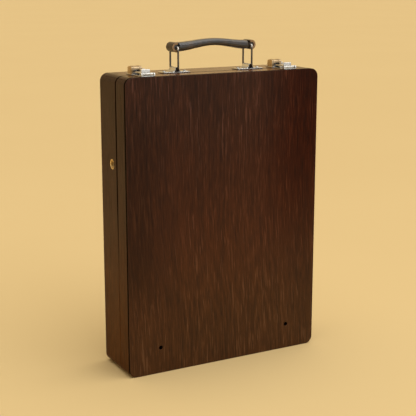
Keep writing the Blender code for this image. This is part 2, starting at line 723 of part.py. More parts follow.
def turn_button(name, brass, x):
    """A small plate on a screw in the divider's edge. Its arm reaches over the palette."""
    plate_back = STORE_FRONT - PALETTE - 2 * GAP
    plate_front = plate_back - 2 * MM
    centre = (x, TURN_BUTTON_Z)
    plate = slot("Y", centre, (x, TURN_BUTTON_Z - 14 * MM), 4.5 * MM, plate_front, plate_back)
    shank = rod("Y", centre, 2 * MM, plate_back - MM, STORE_FRONT - GAP, 12)
    cap = rod("Y", centre, 3 * MM, plate_front - 0.8 * MM, plate_front + MM, 12)
    part(name, brass, plate, join=[shank, cap], origin=(x, plate_back, TURN_BUTTON_Z))


def tin_tray(name, tin, x):
    """An open sheet-metal tray that lies between a divider and the stay."""
    back = BASE_BOARD_BACK - GAP
    front = STORE_FRONT + 8 * MM
    outer = block((x - TRAY_HALF_WIDTH, x + TRAY_HALF_WIDTH), (front, back), (TRAY_BOTTOM, TRAY_TOP))
    inner = block(
        (x - TRAY_HALF_WIDTH + TRAY_WALL, x + TRAY_HALF_WIDTH - TRAY_WALL),
        (front - MM, back - TRAY_WALL),
        (TRAY_BOTTOM + TRAY_WALL, TRAY_TOP - TRAY_WALL),
    )
    part(name, tin, outer, cut=[inner])


def storage(wood, brass, tin):
    back = BASE_BOARD_BACK
    low, high = BOARD + GAP, HEIGHT - BOARD - GAP
    half = DIVIDER / 2
    for side, name in ((-1, "left"), (1, "right")):
        x = side * DIVIDER_X
        part(f"divider_{name}", wood, block((x - half, x + half), (STORE_FRONT, back), (low, high)))
        turn_button(f"turn_button_{name}", brass, x)
        tin_tray(f"tin_tray_{name}", tin, side * TRAY_X)
    reach = DIVIDER_X - half - GAP
    cross = block((-reach, reach), (STORE_FRONT, back), (CROSS_DIVIDER_Z - half, CROSS_DIVIDER_Z + half))
    part("cross_divider", wood, cross)
    palette(wood)
    palette_ledge(wood)


def main():
    clear_scene()
    walnut = material("walnut", (0.050, 0.022, 0.014), 0.35, 0)
    beech = material("beech", (0.42, 0.25, 0.13), 0.5, 0)
    nickel = material("nickel", (0.78, 0.76, 0.72), 0.22, 1)
    steel = material("steel", (0.32, 0.31, 0.30), 0.35, 1)
    brass = material("brass", (0.72, 0.50, 0.20), 0.25, 1)
    tin = material("tin", (0.60, 0.61, 0.62), 0.4, 1)
    leather = material("leather", (0.020, 0.016, 0.014), 0.5, 0)
    case(walnut)
    sockets(brass)
    hinges(brass)
    stays(brass)
    handle(nickel, leather)
    catches(nickel, steel)
    easel_parts(beech, brass)
    storage(beech, brass, tin)


main()
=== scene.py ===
"""The looks of the french box easel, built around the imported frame.

The case stands closed on its hinge edge. Lengths are in metres, in the frame of the
CAD: +X to the right, +Y from the lid to the back, +Z up.
"""

import json
import math

import bmesh
import bpy
from mathutils import Euler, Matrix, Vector

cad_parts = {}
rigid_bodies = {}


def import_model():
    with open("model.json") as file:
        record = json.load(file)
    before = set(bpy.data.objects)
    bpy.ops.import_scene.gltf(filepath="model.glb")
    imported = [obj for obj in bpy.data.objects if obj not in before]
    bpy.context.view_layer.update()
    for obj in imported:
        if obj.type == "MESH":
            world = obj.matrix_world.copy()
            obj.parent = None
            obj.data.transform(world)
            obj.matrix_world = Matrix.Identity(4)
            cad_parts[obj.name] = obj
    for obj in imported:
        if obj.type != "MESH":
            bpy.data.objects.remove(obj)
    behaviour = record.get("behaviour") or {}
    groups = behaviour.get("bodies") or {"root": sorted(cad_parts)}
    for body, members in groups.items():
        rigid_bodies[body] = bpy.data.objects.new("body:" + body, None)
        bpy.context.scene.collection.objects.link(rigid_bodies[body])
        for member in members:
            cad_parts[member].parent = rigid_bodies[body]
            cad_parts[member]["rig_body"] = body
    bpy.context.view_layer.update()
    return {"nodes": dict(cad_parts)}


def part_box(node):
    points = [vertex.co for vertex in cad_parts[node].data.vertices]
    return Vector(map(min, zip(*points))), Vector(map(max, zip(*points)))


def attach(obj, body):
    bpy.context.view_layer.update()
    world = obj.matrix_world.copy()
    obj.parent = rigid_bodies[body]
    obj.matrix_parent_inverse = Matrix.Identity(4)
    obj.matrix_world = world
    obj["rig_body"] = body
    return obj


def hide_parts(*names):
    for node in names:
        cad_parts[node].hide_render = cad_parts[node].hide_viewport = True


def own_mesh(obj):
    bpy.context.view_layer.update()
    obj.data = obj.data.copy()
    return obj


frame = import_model()
MM = 0.001
LEFT_RIGHT = ((-1, "left"), (1, "right"))
FRONT_BACK = ((-1, "front"), (1, "back"))


# Measures of the case, taken from the CAD


def box_of(node):
    low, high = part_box(node)
    return Vector(low), Vector(high)


PANEL_LOW, PANEL_HIGH = box_of("lid_front_panel")
BACK_LOW, BACK_HIGH = box_of("base_back_panel")
LID_LOW, LID_HIGH = box_of("lid_left_board")
BASE_LOW, BASE_HIGH = box_of("base_left_board")
HALF_WIDTH, _, HEIGHT = PANEL_HIGH
SEAM = (LID_HIGH.y + BASE_LOW.y) / 2
CORNER = 12 * MM
BOARD = 12 * MM


# Shapes. Each returns a bmesh in the frame's own coordinates.

FLAT_ANGLE = math.radians(0.5)
SMALLEST_RADIUS = 1e-5


def arc(centre, radius, start, end, steps):
    """Points on an arc, angles in degrees."""
    turns = [math.radians(start + (end - start) * i / steps) for i in range(steps + 1)]
    return [(centre[0] + radius * math.cos(t), centre[1] + radius * math.sin(t)) for t in turns]


def circle(centre, radius, sides):
    return arc(centre, radius, 0, 360 - 360 / sides, sides - 1)


def mirrored(points, x):
    """The points in reverse order, mirrored about x."""
    return [(2 * x - a, b) for a, b in reversed(points)]


def lift(axis, a, b, along):
    """A point from its place in the plane across the axis and its place along the axis."""
    return {"X": (along, a, b), "Y": (a, along, b), "Z": (a, b, along)}[axis]


def skin(rings, closed=False):
    """A skin through rings of points. A closed skin joins its last ring to its first."""
    bm = bmesh.new()
    loops = [[bm.verts.new(p) for p in ring] for ring in rings]
    pairs = list(zip(loops, loops[1:]))
    if closed:
        pairs.append((loops[-1], loops[0]))
    for one, two in pairs:
        for i in range(len(one)):
            j = (i + 1) % len(one)
            bm.faces.new((one[i], one[j], two[j], two[i]))
    if not closed:
        bm.faces.new(loops[0])
        bm.faces.new(loops[-1])
    bmesh.ops.recalc_face_normals(bm, faces=bm.faces)
    return bm


def prism(outline, axis, low, high):
    return skin([[lift(axis, a, b, along) for a, b in outline] for along in (low, high)])


def block(x, y, z):
    return prism([(x[0], y[0]), (x[1], y[0]), (x[1], y[1]), (x[0], y[1])], "Z", *z)


def rod(axis, centre, radius, low, high, sides=32):
    return prism(circle(centre, radius, sides), axis, low, high)


def rounded(a, b, radius, steps=6):
    """The outline of a rectangle with round corners, between two values on each axis."""
    corners = (
        (a[1] - radius, b[1] - radius, 0),
        (a[0] + radius, b[1] - radius, 90),
        (a[0] + radius, b[0] + radius, 180),
        (a[1] - radius, b[0] + radius, 270),
    )
    points = []
    for x, y, start in corners:
        points += arc((x, y), radius, start, start + 90, steps)
    return points


def lathe(profile, axis, centre, sides, closed=False):
    """A turned shape. The profile is (place along the axis, radius)."""
    rings = []
    for along, radius in profile:
        ring = circle(centre, max(radius, SMALLEST_RADIUS), sides)
        rings.append([lift(axis, a, b, along) for a, b in ring])
    return skin(rings, closed)


def wire_loop(path, radius, sides):
    """A loop of round wire along a closed path of points that lies in one plane."""
    path = [Vector(p) for p in path]
    count = len(path)
    flat = (path[1] - path[0]).cross(path[count // 2] - path[0]).normalized()
    rings = []
    for i, point in enumerate(path):
        along = (path[(i + 1) % count] - path[i - 1]).normalized()
        across = flat.cross(along).normalized()
        ring = []
        for j in range(sides):
            turn = 2 * math.pi * j / sides
            ring.append(point + radius * (across * math.cos(turn) + flat * math.sin(turn)))
        rings.append(ring)
    return skin(rings, closed=True)


def cleaned(bm, distance):
    """The shape with its double points merged and its flat faces whole."""
    bmesh.ops.remove_doubles(bm, verts=bm.verts, dist=distance)
    bmesh.ops.dissolve_limit(
        bm, angle_limit=FLAT_ANGLE, verts=bm.verts, edges=bm.edges, delimit={"NORMAL"}
    )
    bmesh.ops.recalc_face_normals(bm, faces=bm.faces)
    return bm


def carved(shape, *cutters):
    """The shape with others cut from it."""
    helpers = []

    def helper(bm):
        mesh = bpy.data.meshes.new("helper")
        bm.to_mesh(mesh)
        bm.free()
        made = bpy.data.objects.new("helper", mesh)
        bpy.context.scene.collection.objects.link(made)
        helpers.append(made)
        return made

    main = helper(shape)
    for cutter in cutters:
        boolean = main.modifiers.new("Boolean", "BOOLEAN")
        boolean.operation = "DIFFERENCE"
        boolean.solver = "EXACT"
        boolean.object = helper(cutter)
    bpy.context.view_layer.update()
    done = main.evaluated_get(bpy.context.evaluated_depsgraph_get())
    bm = bmesh.new()
    bm.from_mesh(done.to_mesh())
    done.to_mesh_clear()
    for made in helpers:
        mesh = made.data
        bpy.data.objects.remove(made)
        bpy.data.meshes.remove(mesh)
    return cleaned(bm, 1e-6)


def cad_shape(node):
    """A clean copy of a CAD node's shape."""
    bm = bmesh.new()
    bm.from_mesh(frame["nodes"][node].data)
    return cleaned(bm, 2e-6)


# Pieces


def piece(name, bm, look, like=None, stands_for=None, bevel=0, segments=2, sharp=35):
    """One visible piece. It rides with the body of the node it is like or stands for.

    A bevel rounds the edges that turn by more than sharp degrees. Without one they stay
    sharp.
    """
    mesh = bpy.data.meshes.new(name)
    bm.to_mesh(mesh)
    bm.free()
    for polygon in mesh.polygons:
        polygon.use_smooth = True
    made = bpy.data.objects.new(name, mesh)
    bpy.context.scene.collection.objects.link(made)
    made.data.materials.append(look.material)
    if bevel:
        edge = made.modifiers.new("Eased edges", "BEVEL")
        edge.width = bevel
        edge.segments = segments
        edge.limit_method = "ANGLE"
        edge.angle_limit = math.radians(sharp)
        edge.harden_normals = True
        edge.miter_outer = "MITER_ARC"
    else:
        mesh.set_sharp_from_angle(angle=math.radians(sharp))
    owner = like or stands_for
    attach(made, frame["nodes"][owner]["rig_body"])
    if stands_for:
        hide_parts(stands_for)
    return made


def eased(node, look, bevel):
    """A CAD node's own shape with eased edges and its finish."""
    return piece(f"{node}.eased", cad_shape(node), look, stands_for=node, bevel=bevel)


# Materials


class Nodes:
    """A node tree, with short ways to add nodes to it."""

    def __init__(self, tree):
        self.tree = tree

    def feed(self, socket, value):
        if isinstance(value, bpy.types.NodeSocket):
            self.tree.links.new(value, socket)
        else:
            socket.default_value = value

    def node(self, kind, inputs=None, **settings):
        made = self.tree.nodes.new(kind)
        for key, value in settings.items():
            setattr(made, key, value)
        for key, value in (inputs or {}).items():
            self.feed(made.inputs[key], value)
        return made

    def axes(self, vector):
        """The X, Y and Z of a vector."""
        return tuple(self.node("ShaderNodeSeparateXYZ", {0: vector}).outputs)

    def vectors(self, operation, a, b, output="Vector"):
        return self.node("ShaderNodeVectorMath", {0: a, 1: b}, operation=operation).outputs[output]

    def maths(self, operation, a, b=0.0, c=0.0, clamp=False):
        inputs = {0: a, 1: b, 2: c}
        return self.node("ShaderNodeMath", inputs, operation=operation, use_clamp=clamp).outputs[0]

    def times(self, a, b):
        return self.maths("MULTIPLY", a, b)

    def off(self, value, place):
        """How far the value is from a place, to either side."""
        return self.maths("ABSOLUTE", self.maths("SUBTRACT", value, place))

    def swing(self, value, amount, base):
        """The base, moved up or down by a value that lies around a half."""
        return self.maths("MULTIPLY_ADD", self.maths("SUBTRACT", value, 0.5), amount, base)

    def ramp(self, value, stops):
        made = self.node("ShaderNodeValToRGB", {"Fac": value})
        marks = made.color_ramp.elements
        while len(marks) < len(stops):
            marks.new(0.5)
        for mark, (at, colour) in zip(marks, stops):
            mark.position = at
            mark.color = (*colour, 1)
        return made.outputs["Color"]

    def mix(self, share, a, b, blend="MIX"):
        a, b = ((*x, 1) if isinstance(x, tuple) else x for x in (a, b))
        inputs = {0: share, 6: a, 7: b}
        made = self.node("ShaderNodeMix", inputs, data_type="RGBA", blend_type=blend)
        return made.outputs[2]

    def tinted(self, share, colour, factors):
        """The colour, multiplied by three factors where the share is 1."""
        return self.mix(share, colour, self.mix(1.0, colour, factors, "MULTIPLY"))


class Look(Nodes):
    """A material made from nodes, in the frame's coordinates, and its slot in the record."""

    def __init__(self, name, slot):
        self.slot = slot
        self.material = bpy.data.materials.new(name)
        self.material.use_nodes = True
        super().__init__(self.material.node_tree)
        self.shader = self.tree.nodes["Principled BSDF"]
        self.place = self.node("ShaderNodeTexCoord").outputs["Object"]

    def mapped(self, vector, scale=(1, 1, 1), shift=(0, 0, 0), turn=(0, 0, 0)):
        inputs = {"Vector": vector, "Scale": scale, "Location": shift, "Rotation": turn}
        return self.node("ShaderNodeMapping", inputs).outputs["Vector"]

    def noise(self, vector, scale=1.0, detail=2.0, roughness=0.5, output="Fac"):
        inputs = {"Vector": vector, "Scale": scale, "Detail": detail, "Roughness": roughness}
        return self.node("ShaderNodeTexNoise", inputs).outputs[output]

    def between(self, value, low, high, to_low=0.0, to_high=1.0):
        """The value's place between two others, eased at both ends."""
        inputs = {"Value": value, 1: low, 2: high, 3: to_low, 4: to_high}
        made = self.node("ShaderNodeMapRange", inputs, interpolation_type="SMOOTHSTEP")
        return made.outputs["Result"]

    def bump(self, height, distance, strength):
        inputs = {"Height": height, "Distance": distance, "Strength": strength}
        return self.node("ShaderNodeBump", inputs).outputs["Normal"]

    def edges(self, radius):
        """A mask that is 1 on edges and 0 on flat faces."""
        soft = self.node("ShaderNodeBevel", {"Radius": radius}, samples=4).outputs["Normal"]
        hard = self.node("ShaderNodeNewGeometry").outputs["Normal"]
        return self.between(self.vectors("DOT_PRODUCT", soft, hard, "Value"), 0.995, 0.90)

    def swayed(self, vector, scale, amount):
        """The vector pushed about by slow noise."""
        cloud = self.noise(self.mapped(vector, scale), 1.0, 2.0, output="Color")
        centred = self.vectors("SUBTRACT", cloud, (0.5, 0.5, 0.5))
        return self.vectors("ADD", vector, self.vectors("MULTIPLY", centred, amount))

    def finish(self, **inputs):
        """Feed the shader. A name's underscores stand for spaces."""
        for key, value in inputs.items():
            self.feed(self.shader.inputs[key.replace("_", " ")], value)
        return self


GRAIN_TURNS = {"Z": (0, 0, 0), "X": (0, math.radians(90), 0)}
TONE_MARKS = (0.22, 0.44, 0.6, 0.8)
WORN_WIDTH = 0.8 * MM
RUBBED = (0.14, 0.06, 0.03)
# The colour of the wire's painted highlight.
WIRE_HIGHLIGHT = (0.80, 0.78, 0.75)
# Near black, for painted shade in the seam and along the front panel's edge.
PAINTED_SHADE_DARK = (0.004, 0.003, 0.002)


def leaning(look, vector):
    """Fibres that run straight in the upper half and lean to the right towards the foot."""
    drift = look.between(look.axes(vector)[2], 0.30, 0.0, 0.0, 0.015)
    push = look.node("ShaderNodeCombineXYZ", {"X": drift}).outputs[0]
    return look.vectors("SUBTRACT", vector, push)


def arched(look, value, fibres, band, arches):
    """The figure's value with the rings of flat-sawn wood added to it."""
    for x, z, stretch, pitch, reach in arches:
        fibre_x, _, fibre_z = look.axes(fibres)
        across = look.maths("SUBTRACT", fibre_x, x)
        drop = look.times(look.maths("SUBTRACT", fibre_z, z), stretch)
        squares = look.maths("ADD", look.times(across, across), look.times(drop, drop))
        ring = look.maths("DIVIDE", look.maths("SQRT", squares), pitch)
        ring = look.maths("MULTIPLY_ADD", band, 3.0, ring)
        wave = look.maths("SINE", look.times(ring, 2 * math.pi))
        near = look.between(look.maths("ABSOLUTE", across), reach, reach * 0.4)
        below = look.between(fibre_z, z + reach * 3.4, z + reach * 1.6)
        mask = look.times(near, below)
        value = look.maths("MULTIPLY_ADD", look.times(wave, mask), 0.055, value)
    return value


def wood(
    name,
    slot,
    grain,
    shift,
    tones,
    arches=(),
    polish=0.38,
    spec=0.22,
    pore=0.5,
    wear=None,
    tint=None,
    lean=False,
    fleck_share=0.5,
    sheen=(1.0, 1.0, 1.0),
):
    """Figured wood, with its fibres along the axis named by grain.

    Tones are four colours from dark to light. Arches are (x, z, stretch, pitch, reach) of
    the flat-sawn figure's rings, which show within reach of x. Polish is the roughness,
    spec the gloss and sheen the gloss's colour. Pore and fleck_share say how strongly the
    pores and the light flecks show. Wear colours the rubbed edges. A wood that leans has
    its fibres tilted towards the foot. Tint changes the colour by place, and also returns
    how dull the wood is there.
    """
    look = Look(name, slot)
    fibres = look.mapped(look.place, turn=GRAIN_TURNS[grain], shift=shift)
    if lean:
        fibres = leaning(look, fibres)
    fibres = look.swayed(fibres, (7, 7, 2.2), (0.010, 0.010, 0))
    band = look.noise(look.mapped(fibres, (26, 26, 0.9)), 1.0, 2.0, 0.55)
    streak = look.noise(look.mapped(fibres, (290, 290, 11)), 1.0, 3.0, 0.65)
    thread = look.noise(look.mapped(fibres, (560, 560, 40)), 1.0, 3.0, 0.65)
    value = look.swing(band, 0.26, 0.5)
    value = look.swing(streak, 0.45, value)
    value = look.swing(thread, 0.75, value)
    value = arched(look, value, fibres, band, arches)
    colour = look.ramp(value, list(zip(TONE_MARKS, tones)))

    fleck = look.between(look.noise(look.mapped(fibres, (480, 480, 24)), 1.0, 2.0), 0.58, 0.67)
    patch = look.between(look.noise(look.mapped(fibres, (30, 30, 9)), 1.0, 2.0), 0.35, 0.65)
    fleck = look.times(fleck, look.maths("MULTIPLY_ADD", patch, 0.6, 0.4))
    colour = look.mix(look.times(fleck, fleck_share), colour, tones[3])
    gloss = spec
    if tint:
        colour, dull = tint(look, colour)
        gloss = look.times(look.maths("SUBTRACT", 1.0, dull), spec)
    dash = look.noise(look.mapped(fibres, (1300, 1300, 42)), 1.0, 1.0)
    pores = look.between(dash, 0.60, 0.70)
    colour = look.mix(look.times(pores, pore), colour, tuple(c * 0.3 for c in tones[0]))
    if wear:
        rub = look.times(look.edges(WORN_WIDTH), look.noise(look.place, 60, 3))
        colour = look.mix(look.times(rub, 0.7), colour, wear)

    height = look.maths("MULTIPLY_ADD", pores, -0.8, look.times(thread, 0.5))
    cloud = look.noise(look.place, 14, 3)
    rough = look.maths("MULTIPLY_ADD", cloud, 0.16, polish - 0.08)
    rough = look.maths("MULTIPLY_ADD", pores, 0.15, rough)
    return look.finish(
        Base_Color=colour,
        Roughness=rough,
        Normal=look.bump(height, 0.12 * MM, 0.55),
        Specular_IOR_Level=gloss,
        Specular_Tint=(*sheen, 1),
    )


def front_tint(look, colour):
    """The front panel's colour by place.

    The grain has more contrast in the upper half. A painted sheen makes the wood cooler
    towards the top, painted light from the floor makes it paler low down, and it is paler
    round the heart of the figure. Painted shade darkens it along the upper left edge and
    makes it a deeper red and less glossy along the right. The panel's thin edge is painted
    near black, a painted shade of the groove by the boards, and its inner face is pale.
    """
    x, y, z = look.axes(look.place)
    steep = look.node("ShaderNodeGamma", {"Color": colour, "Gamma": 1.35}).outputs["Color"]
    steep = look.mix(1.0, steep, (2.75, 4.2, 5.6), "MULTIPLY")
    colour = look.mix(look.between(z, 0.18, 0.36), colour, steep)
    # Painted sheen: cooler towards the top.
    colour = look.tinted(look.between(z, 0.24, 0.46), colour, (0.82, 0.98, 1.45))
    # Painted light from the floor: paler low down.
    colour = look.tinted(look.between(z, 0.24, 0.02), colour, (1.22, 1.60, 1.40))
    # Painted shade along the upper left edge.
    left_painted_shade = look.between(x, -0.095, -0.145)
    left_painted_shade = look.times(left_painted_shade, look.between(look.off(z, 0.26), 0.18, 0.09))
    colour = look.tinted(left_painted_shade, colour, (0.58, 0.55, 0.42))
    off_heart = look.vectors("DISTANCE", look.place, (-0.02, -0.045, 0.18), "Value")
    colour = look.tinted(look.between(off_heart, 0.12, 0.03), colour, (1.22, 1.24, 1.20))
    # Painted shade: darker, redder and less glossy along the right.
    right_painted_shade = look.times(look.between(x, 0.03, 0.14), look.between(z, 0.10, 0.36))
    colour = look.tinted(right_painted_shade, colour, (0.78, 0.45, 0.25))
    # Painted shade: the panel's thin edge turns near black, except its inner face.
    rim = look.between(y, PANEL_LOW.y + 0.4 * MM, PANEL_LOW.y + 1.1 * MM)
    inside = look.between(y, PANEL_HIGH.y - 0.5 * MM, PANEL_HIGH.y - 0.1 * MM)
    rim = look.maths("SUBTRACT", rim, inside)
    colour = look.tinted(inside, colour, (2.6, 3.2, 3.6))
    dull = look.maths("MAXIMUM", rim, look.times(right_painted_shade, 0.5))
    return look.mix(rim, colour, PAINTED_SHADE_DARK), dull


def from_inside(look, x, z):
    """How far a point of a board is from the board's inner face: 0 there, CORNER outside."""
    across = look.maths("SUBTRACT", look.maths("ABSOLUTE", x), HALF_WIDTH - CORNER)
    along = look.maths("SUBTRACT", look.off(z, HEIGHT / 2), HEIGHT / 2 - CORNER)
    parts = (look.maths("MAXIMUM", value, 0.0) for value in (across, along))
    squares = [look.times(value, value) for value in parts]
    return look.maths("SQRT", look.maths("ADD", *squares))


def side_tint(look, colour):
    """The boards' colour by place.

    A painted gradient of the floor's light makes them darker and cooler towards the top, and
    warmer, paler and less glossy towards the foot. Painted shade darkens the seam's upper
    part and the edge by the front panel. The inner faces are paler.
    """
    x, y, z = look.axes(look.place)
    # Painted floor light: darker and cooler towards the top, warmer and paler at the foot.
    colour = look.tinted(look.between(z, 0.10, 0.40), colour, (0.62, 0.70, 0.90))
    below = look.between(z, 0.30, 0.04)
    colour = look.tinted(below, colour, (1.45, 1.52, 0.35))
    # Painted shade in the seam's upper part, kept to the outer faces.
    painted_shade_and_dull = look.between(look.off(y, SEAM), 2.7 * MM, 1.6 * MM)
    painted_shade_and_dull = look.times(painted_shade_and_dull, look.between(z, 0.13, 0.26))
    depth = from_inside(look, x, z)
    painted_shade_and_dull = look.times(painted_shade_and_dull, look.between(depth, CORNER - 2.0 * MM, CORNER - 1.0 * MM))
    inner = look.between(depth, CORNER - 1.0 * MM, CORNER - 3.0 * MM)
    colour = look.tinted(inner, colour, (1.5, 1.8, 2.1))
    # Painted shade along the edge by the front panel.
    front = look.between(y, PANEL_LOW.y + 6.0 * MM, PANEL_LOW.y + 4.4 * MM)
    painted_shade_and_dull = look.maths("MAXIMUM", painted_shade_and_dull, front)
    return look.mix(painted_shade_and_dull, colour, PAINTED_SHADE_DARK), look.maths("MAXIMUM", painted_shade_and_dull, look.times(below, 0.5))


def rail_tint(look, colour):
    """The top boards, which a painted shade darkens into the sides round the corners."""
    colour, painted_shade_and_dull = side_tint(look, colour)
    # Painted shade round the corners, also less glossy there.
    corner = look.between(look.maths("ABSOLUTE", look.axes(look.place)[0]), 0.122, 0.155)
    colour = look.tinted(corner, colour, (0.24, 0.20, 0.20))
    return colour, look.maths("MAXIMUM", painted_shade_and_dull, look.times(corner, 0.80))


def metal(
    name,
    slot,
    colour,
    tarnish,
    rough,
    stain=0.35,
    bump=0.02,
    solid=1.0,
    highlight_heights=None,
):
    """Plated or polished metal with fine scratches, dull spots and tarnish.

    Stain is how far the tarnish goes, bump the depth of the scratches in millimetres and
    solid how metallic the surface is. The last argument gives the two heights between which
    the metal turns bright, a painted highlight.
    """
    look = Look(name, slot)
    cloud = look.noise(look.place, 90, 4, 0.6)
    spots = look.between(look.noise(look.place, 420, 3, 0.7), 0.56, 0.72)
    lines = look.noise(look.mapped(look.place, (260, 3200, 900)), 1.0, 2.0)
    tint = look.mix(look.times(look.between(cloud, 0.45, 0.75), stain), colour, tarnish)
    tint = look.mix(look.times(spots, stain), tint, tarnish)
    # Painted highlight: bright above the given heights.
    if highlight_heights:
        tint = look.mix(look.between(look.axes(look.place)[2], *highlight_heights), tint, WIRE_HIGHLIGHT)
    value = look.swing(lines, 0.1, rough)
    value = look.maths("MULTIPLY_ADD", cloud, 0.12, value)
    value = look.maths("MULTIPLY_ADD", spots, 0.12, value)
    height = look.maths("MULTIPLY_ADD", cloud, 0.6, lines)
    return look.finish(
        Base_Color=tint, Metallic=solid, Roughness=value, Normal=look.bump(height, bump * MM, 0.6)
    )


def hide(name, colour, light, grain=820.0, glaze=0.9):
    """Glazed leather: small raised cells, fine creases and a rubbed surface."""
    look = Look(name, "leather")
    warped = look.swayed(look.place, (120, 120, 120), (0.002, 0.002, 0.002))
    inputs = {"Vector": warped, "Scale": grain}
    cells = look.node("ShaderNodeTexVoronoi", inputs, feature="DISTANCE_TO_EDGE")
    pebble = look.between(cells.outputs["Distance"], 0.0, 0.22)
    crease = look.noise(look.mapped(look.place, (420, 60, 60)), 1.0, 4.0, 0.65)
    cloud = look.noise(look.place, 70, 4, 0.6)
    tint = look.mix(look.between(cloud, 0.4, 0.8), colour, light)
    groove = look.maths("MULTIPLY_ADD", pebble, -0.5, 0.5)
    tint = look.mix(groove, tint, tuple(c * 0.4 for c in colour))
    rub = look.times(look.edges(1.2 * MM), look.noise(look.place, 200, 3))
    tint = look.mix(look.times(rub, 0.8), tint, light)
    height = look.maths("MULTIPLY_ADD", crease, 0.8, pebble)
    return look.finish(
        Base_Color=tint,
        Roughness=look.maths("MULTIPLY_ADD", cloud, 0.2, 0.24),
        Normal=look.bump(height, 0.08 * MM, 0.6),
        Specular_IOR_Level=0.2 + 0.3 * glaze,
        Coat_Weight=glaze,
        Coat_Roughness=0.08,
    )


WALNUT = (
    (0.020, 0.0062, 0.0026),
    (0.041, 0.0112, 0.0036),
    (0.058, 0.0155, 0.0048),
    (0.118, 0.041, 0.0200),
)
# Walnut in lighter tones: the light the top boards catch, painted in.
WALNUT_PAINTED_LIT = (
    (0.072, 0.018, 0.002),
    (0.168, 0.043, 0.005),
    (0.245, 0.067, 0.008),
    (0.40, 0.125, 0.02),
)
BEECH = (
    (0.24, 0.125, 0.058),
    (0.40, 0.225, 0.112),
    (0.47, 0.28, 0.145),
    (0.56, 0.36, 0.20),
)
ARCHES = ((-0.045, -0.06, 0.16, 0.0062, 0.085), (0.055, -0.02, 0.15, 0.0070, 0.075))
# Heights of the painted highlight on the wire's top bend.
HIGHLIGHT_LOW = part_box("handle_ring_left")[1][2] - 6 * MM
HIGHLIGHT_HIGH = HIGHLIGHT_LOW + 2.5 * MM

walnut_front = wood(
    "walnut_front",
    "walnut",
    "Z",
    (0, 0, 0),
    WALNUT,
    ARCHES,
    spec=0.18,
    wear=RUBBED,
    tint=front_tint,
    lean=True,
    fleck_share=0.62,
)
walnut_back = wood("walnut_back", "walnut", "Z", (0.7, 0.3, 0.4), WALNUT, ARCHES, wear=RUBBED)
walnut_side = wood(
    "walnut_side",
    "walnut",
    "Z",
    (2.1, 0.4, 0.9),
    WALNUT,
    spec=0.11,
    wear=RUBBED,
    tint=side_tint,
    sheen=(1.0, 0.80, 0.46),
)
walnut_foot = wood(
    "walnut_foot",
    "walnut",
    "X",
    (1.3, 0.8, 0.2),
    WALNUT,
    spec=0.06,
    tint=side_tint,
    sheen=(1.0, 0.76, 0.30),
)
# The top boards, in the walnut tones with painted light.
walnut_rail_painted_lit = wood(
    "walnut_rail_painted_lit",
    "walnut",
    "X",
    (1.3, 0.8, 0.2),
    WALNUT_PAINTED_LIT,
    polish=0.24,
    spec=0.45,
    wear=RUBBED,
    tint=rail_tint,
    sheen=(1.0, 0.71, 0.40),
)
beech_up = wood("beech_up", "beech", "Z", (3.3, 0.1, 0.2), BEECH, polish=0.5, pore=0.25)
beech_across = wood("beech_across", "beech", "X", (4.1, 0.6, 0.7), BEECH, polish=0.5, pore=0.25)

PLATE, PLATE_STAIN = (0.68, 0.67, 0.64), (0.17, 0.145, 0.115)
nickel = metal("nickel", "nickel", PLATE, PLATE_STAIN, 0.16, stain=0.5, bump=0.05)
warm_nickel = metal(
    "warm_nickel", "nickel", (0.56, 0.42, 0.25), (0.24, 0.15, 0.07), 0.26, stain=0.55
)
steel = metal("steel", "steel", (0.30, 0.28, 0.26), (0.10, 0.08, 0.07), 0.26)
gunmetal = metal("gunmetal", "steel", (0.055, 0.050, 0.048), (0.03, 0.026, 0.024), 0.38)
# Dark wire, with a painted highlight on its top bend.
wire_steel = metal(
    "wire_steel",
    "steel",
    (0.13, 0.115, 0.10),
    (0.05, 0.04, 0.032),
    0.30,
    highlight_heights=(HIGHLIGHT_LOW, HIGHLIGHT_HIGH),
)
brass = metal("brass", "brass", (0.78, 0.54, 0.22), (0.34, 0.20, 0.07), 0.22)
satin_brass = metal(
    "satin_brass", "brass", (1.0, 0.76, 0.36), (0.80, 0.54, 0.22), 0.34, solid=0.75
)
tin = metal("tin", "tin", (0.66, 0.67, 0.68), (0.38, 0.37, 0.36), 0.34, stain=0.5)
leather = hide("leather", (0.020, 0.017, 0.017), (0.075, 0.045, 0.030))
strap_leather = hide("leather_strap", (0.050, 0.030, 0.018), (0.13, 0.075, 0.040), glaze=0.1)
raw_edge = hide("leather_edge", (0.31, 0.19, 0.09), (0.48, 0.31, 0.16), grain=1600.0, glaze=0.3)


# Case

MITRE_GAP = 0.04 * MM
SEAM_EASE = 0.15 * MM
PANEL_EASE = 1.1 * MM
PEG_X, PEG_Z, PEG_RADIUS = 111 * MM, 40 * MM, 3 * MM
SOCKET_LOW, SOCKET_HIGH = box_of("socket_bush_left")
SOCKET_AT = ((SOCKET_LOW.y + SOCKET_HIGH.y) / 2, (SOCKET_LOW.z + SOCKET_HIGH.z) / 2)
SOCKET_SINK = 0.4 * MM
SOCKET_BORE = 7.3 * MM
SOCKET_RIM, SOCKET_RIM_DEPTH = 8.0 * MM, 1.1 * MM


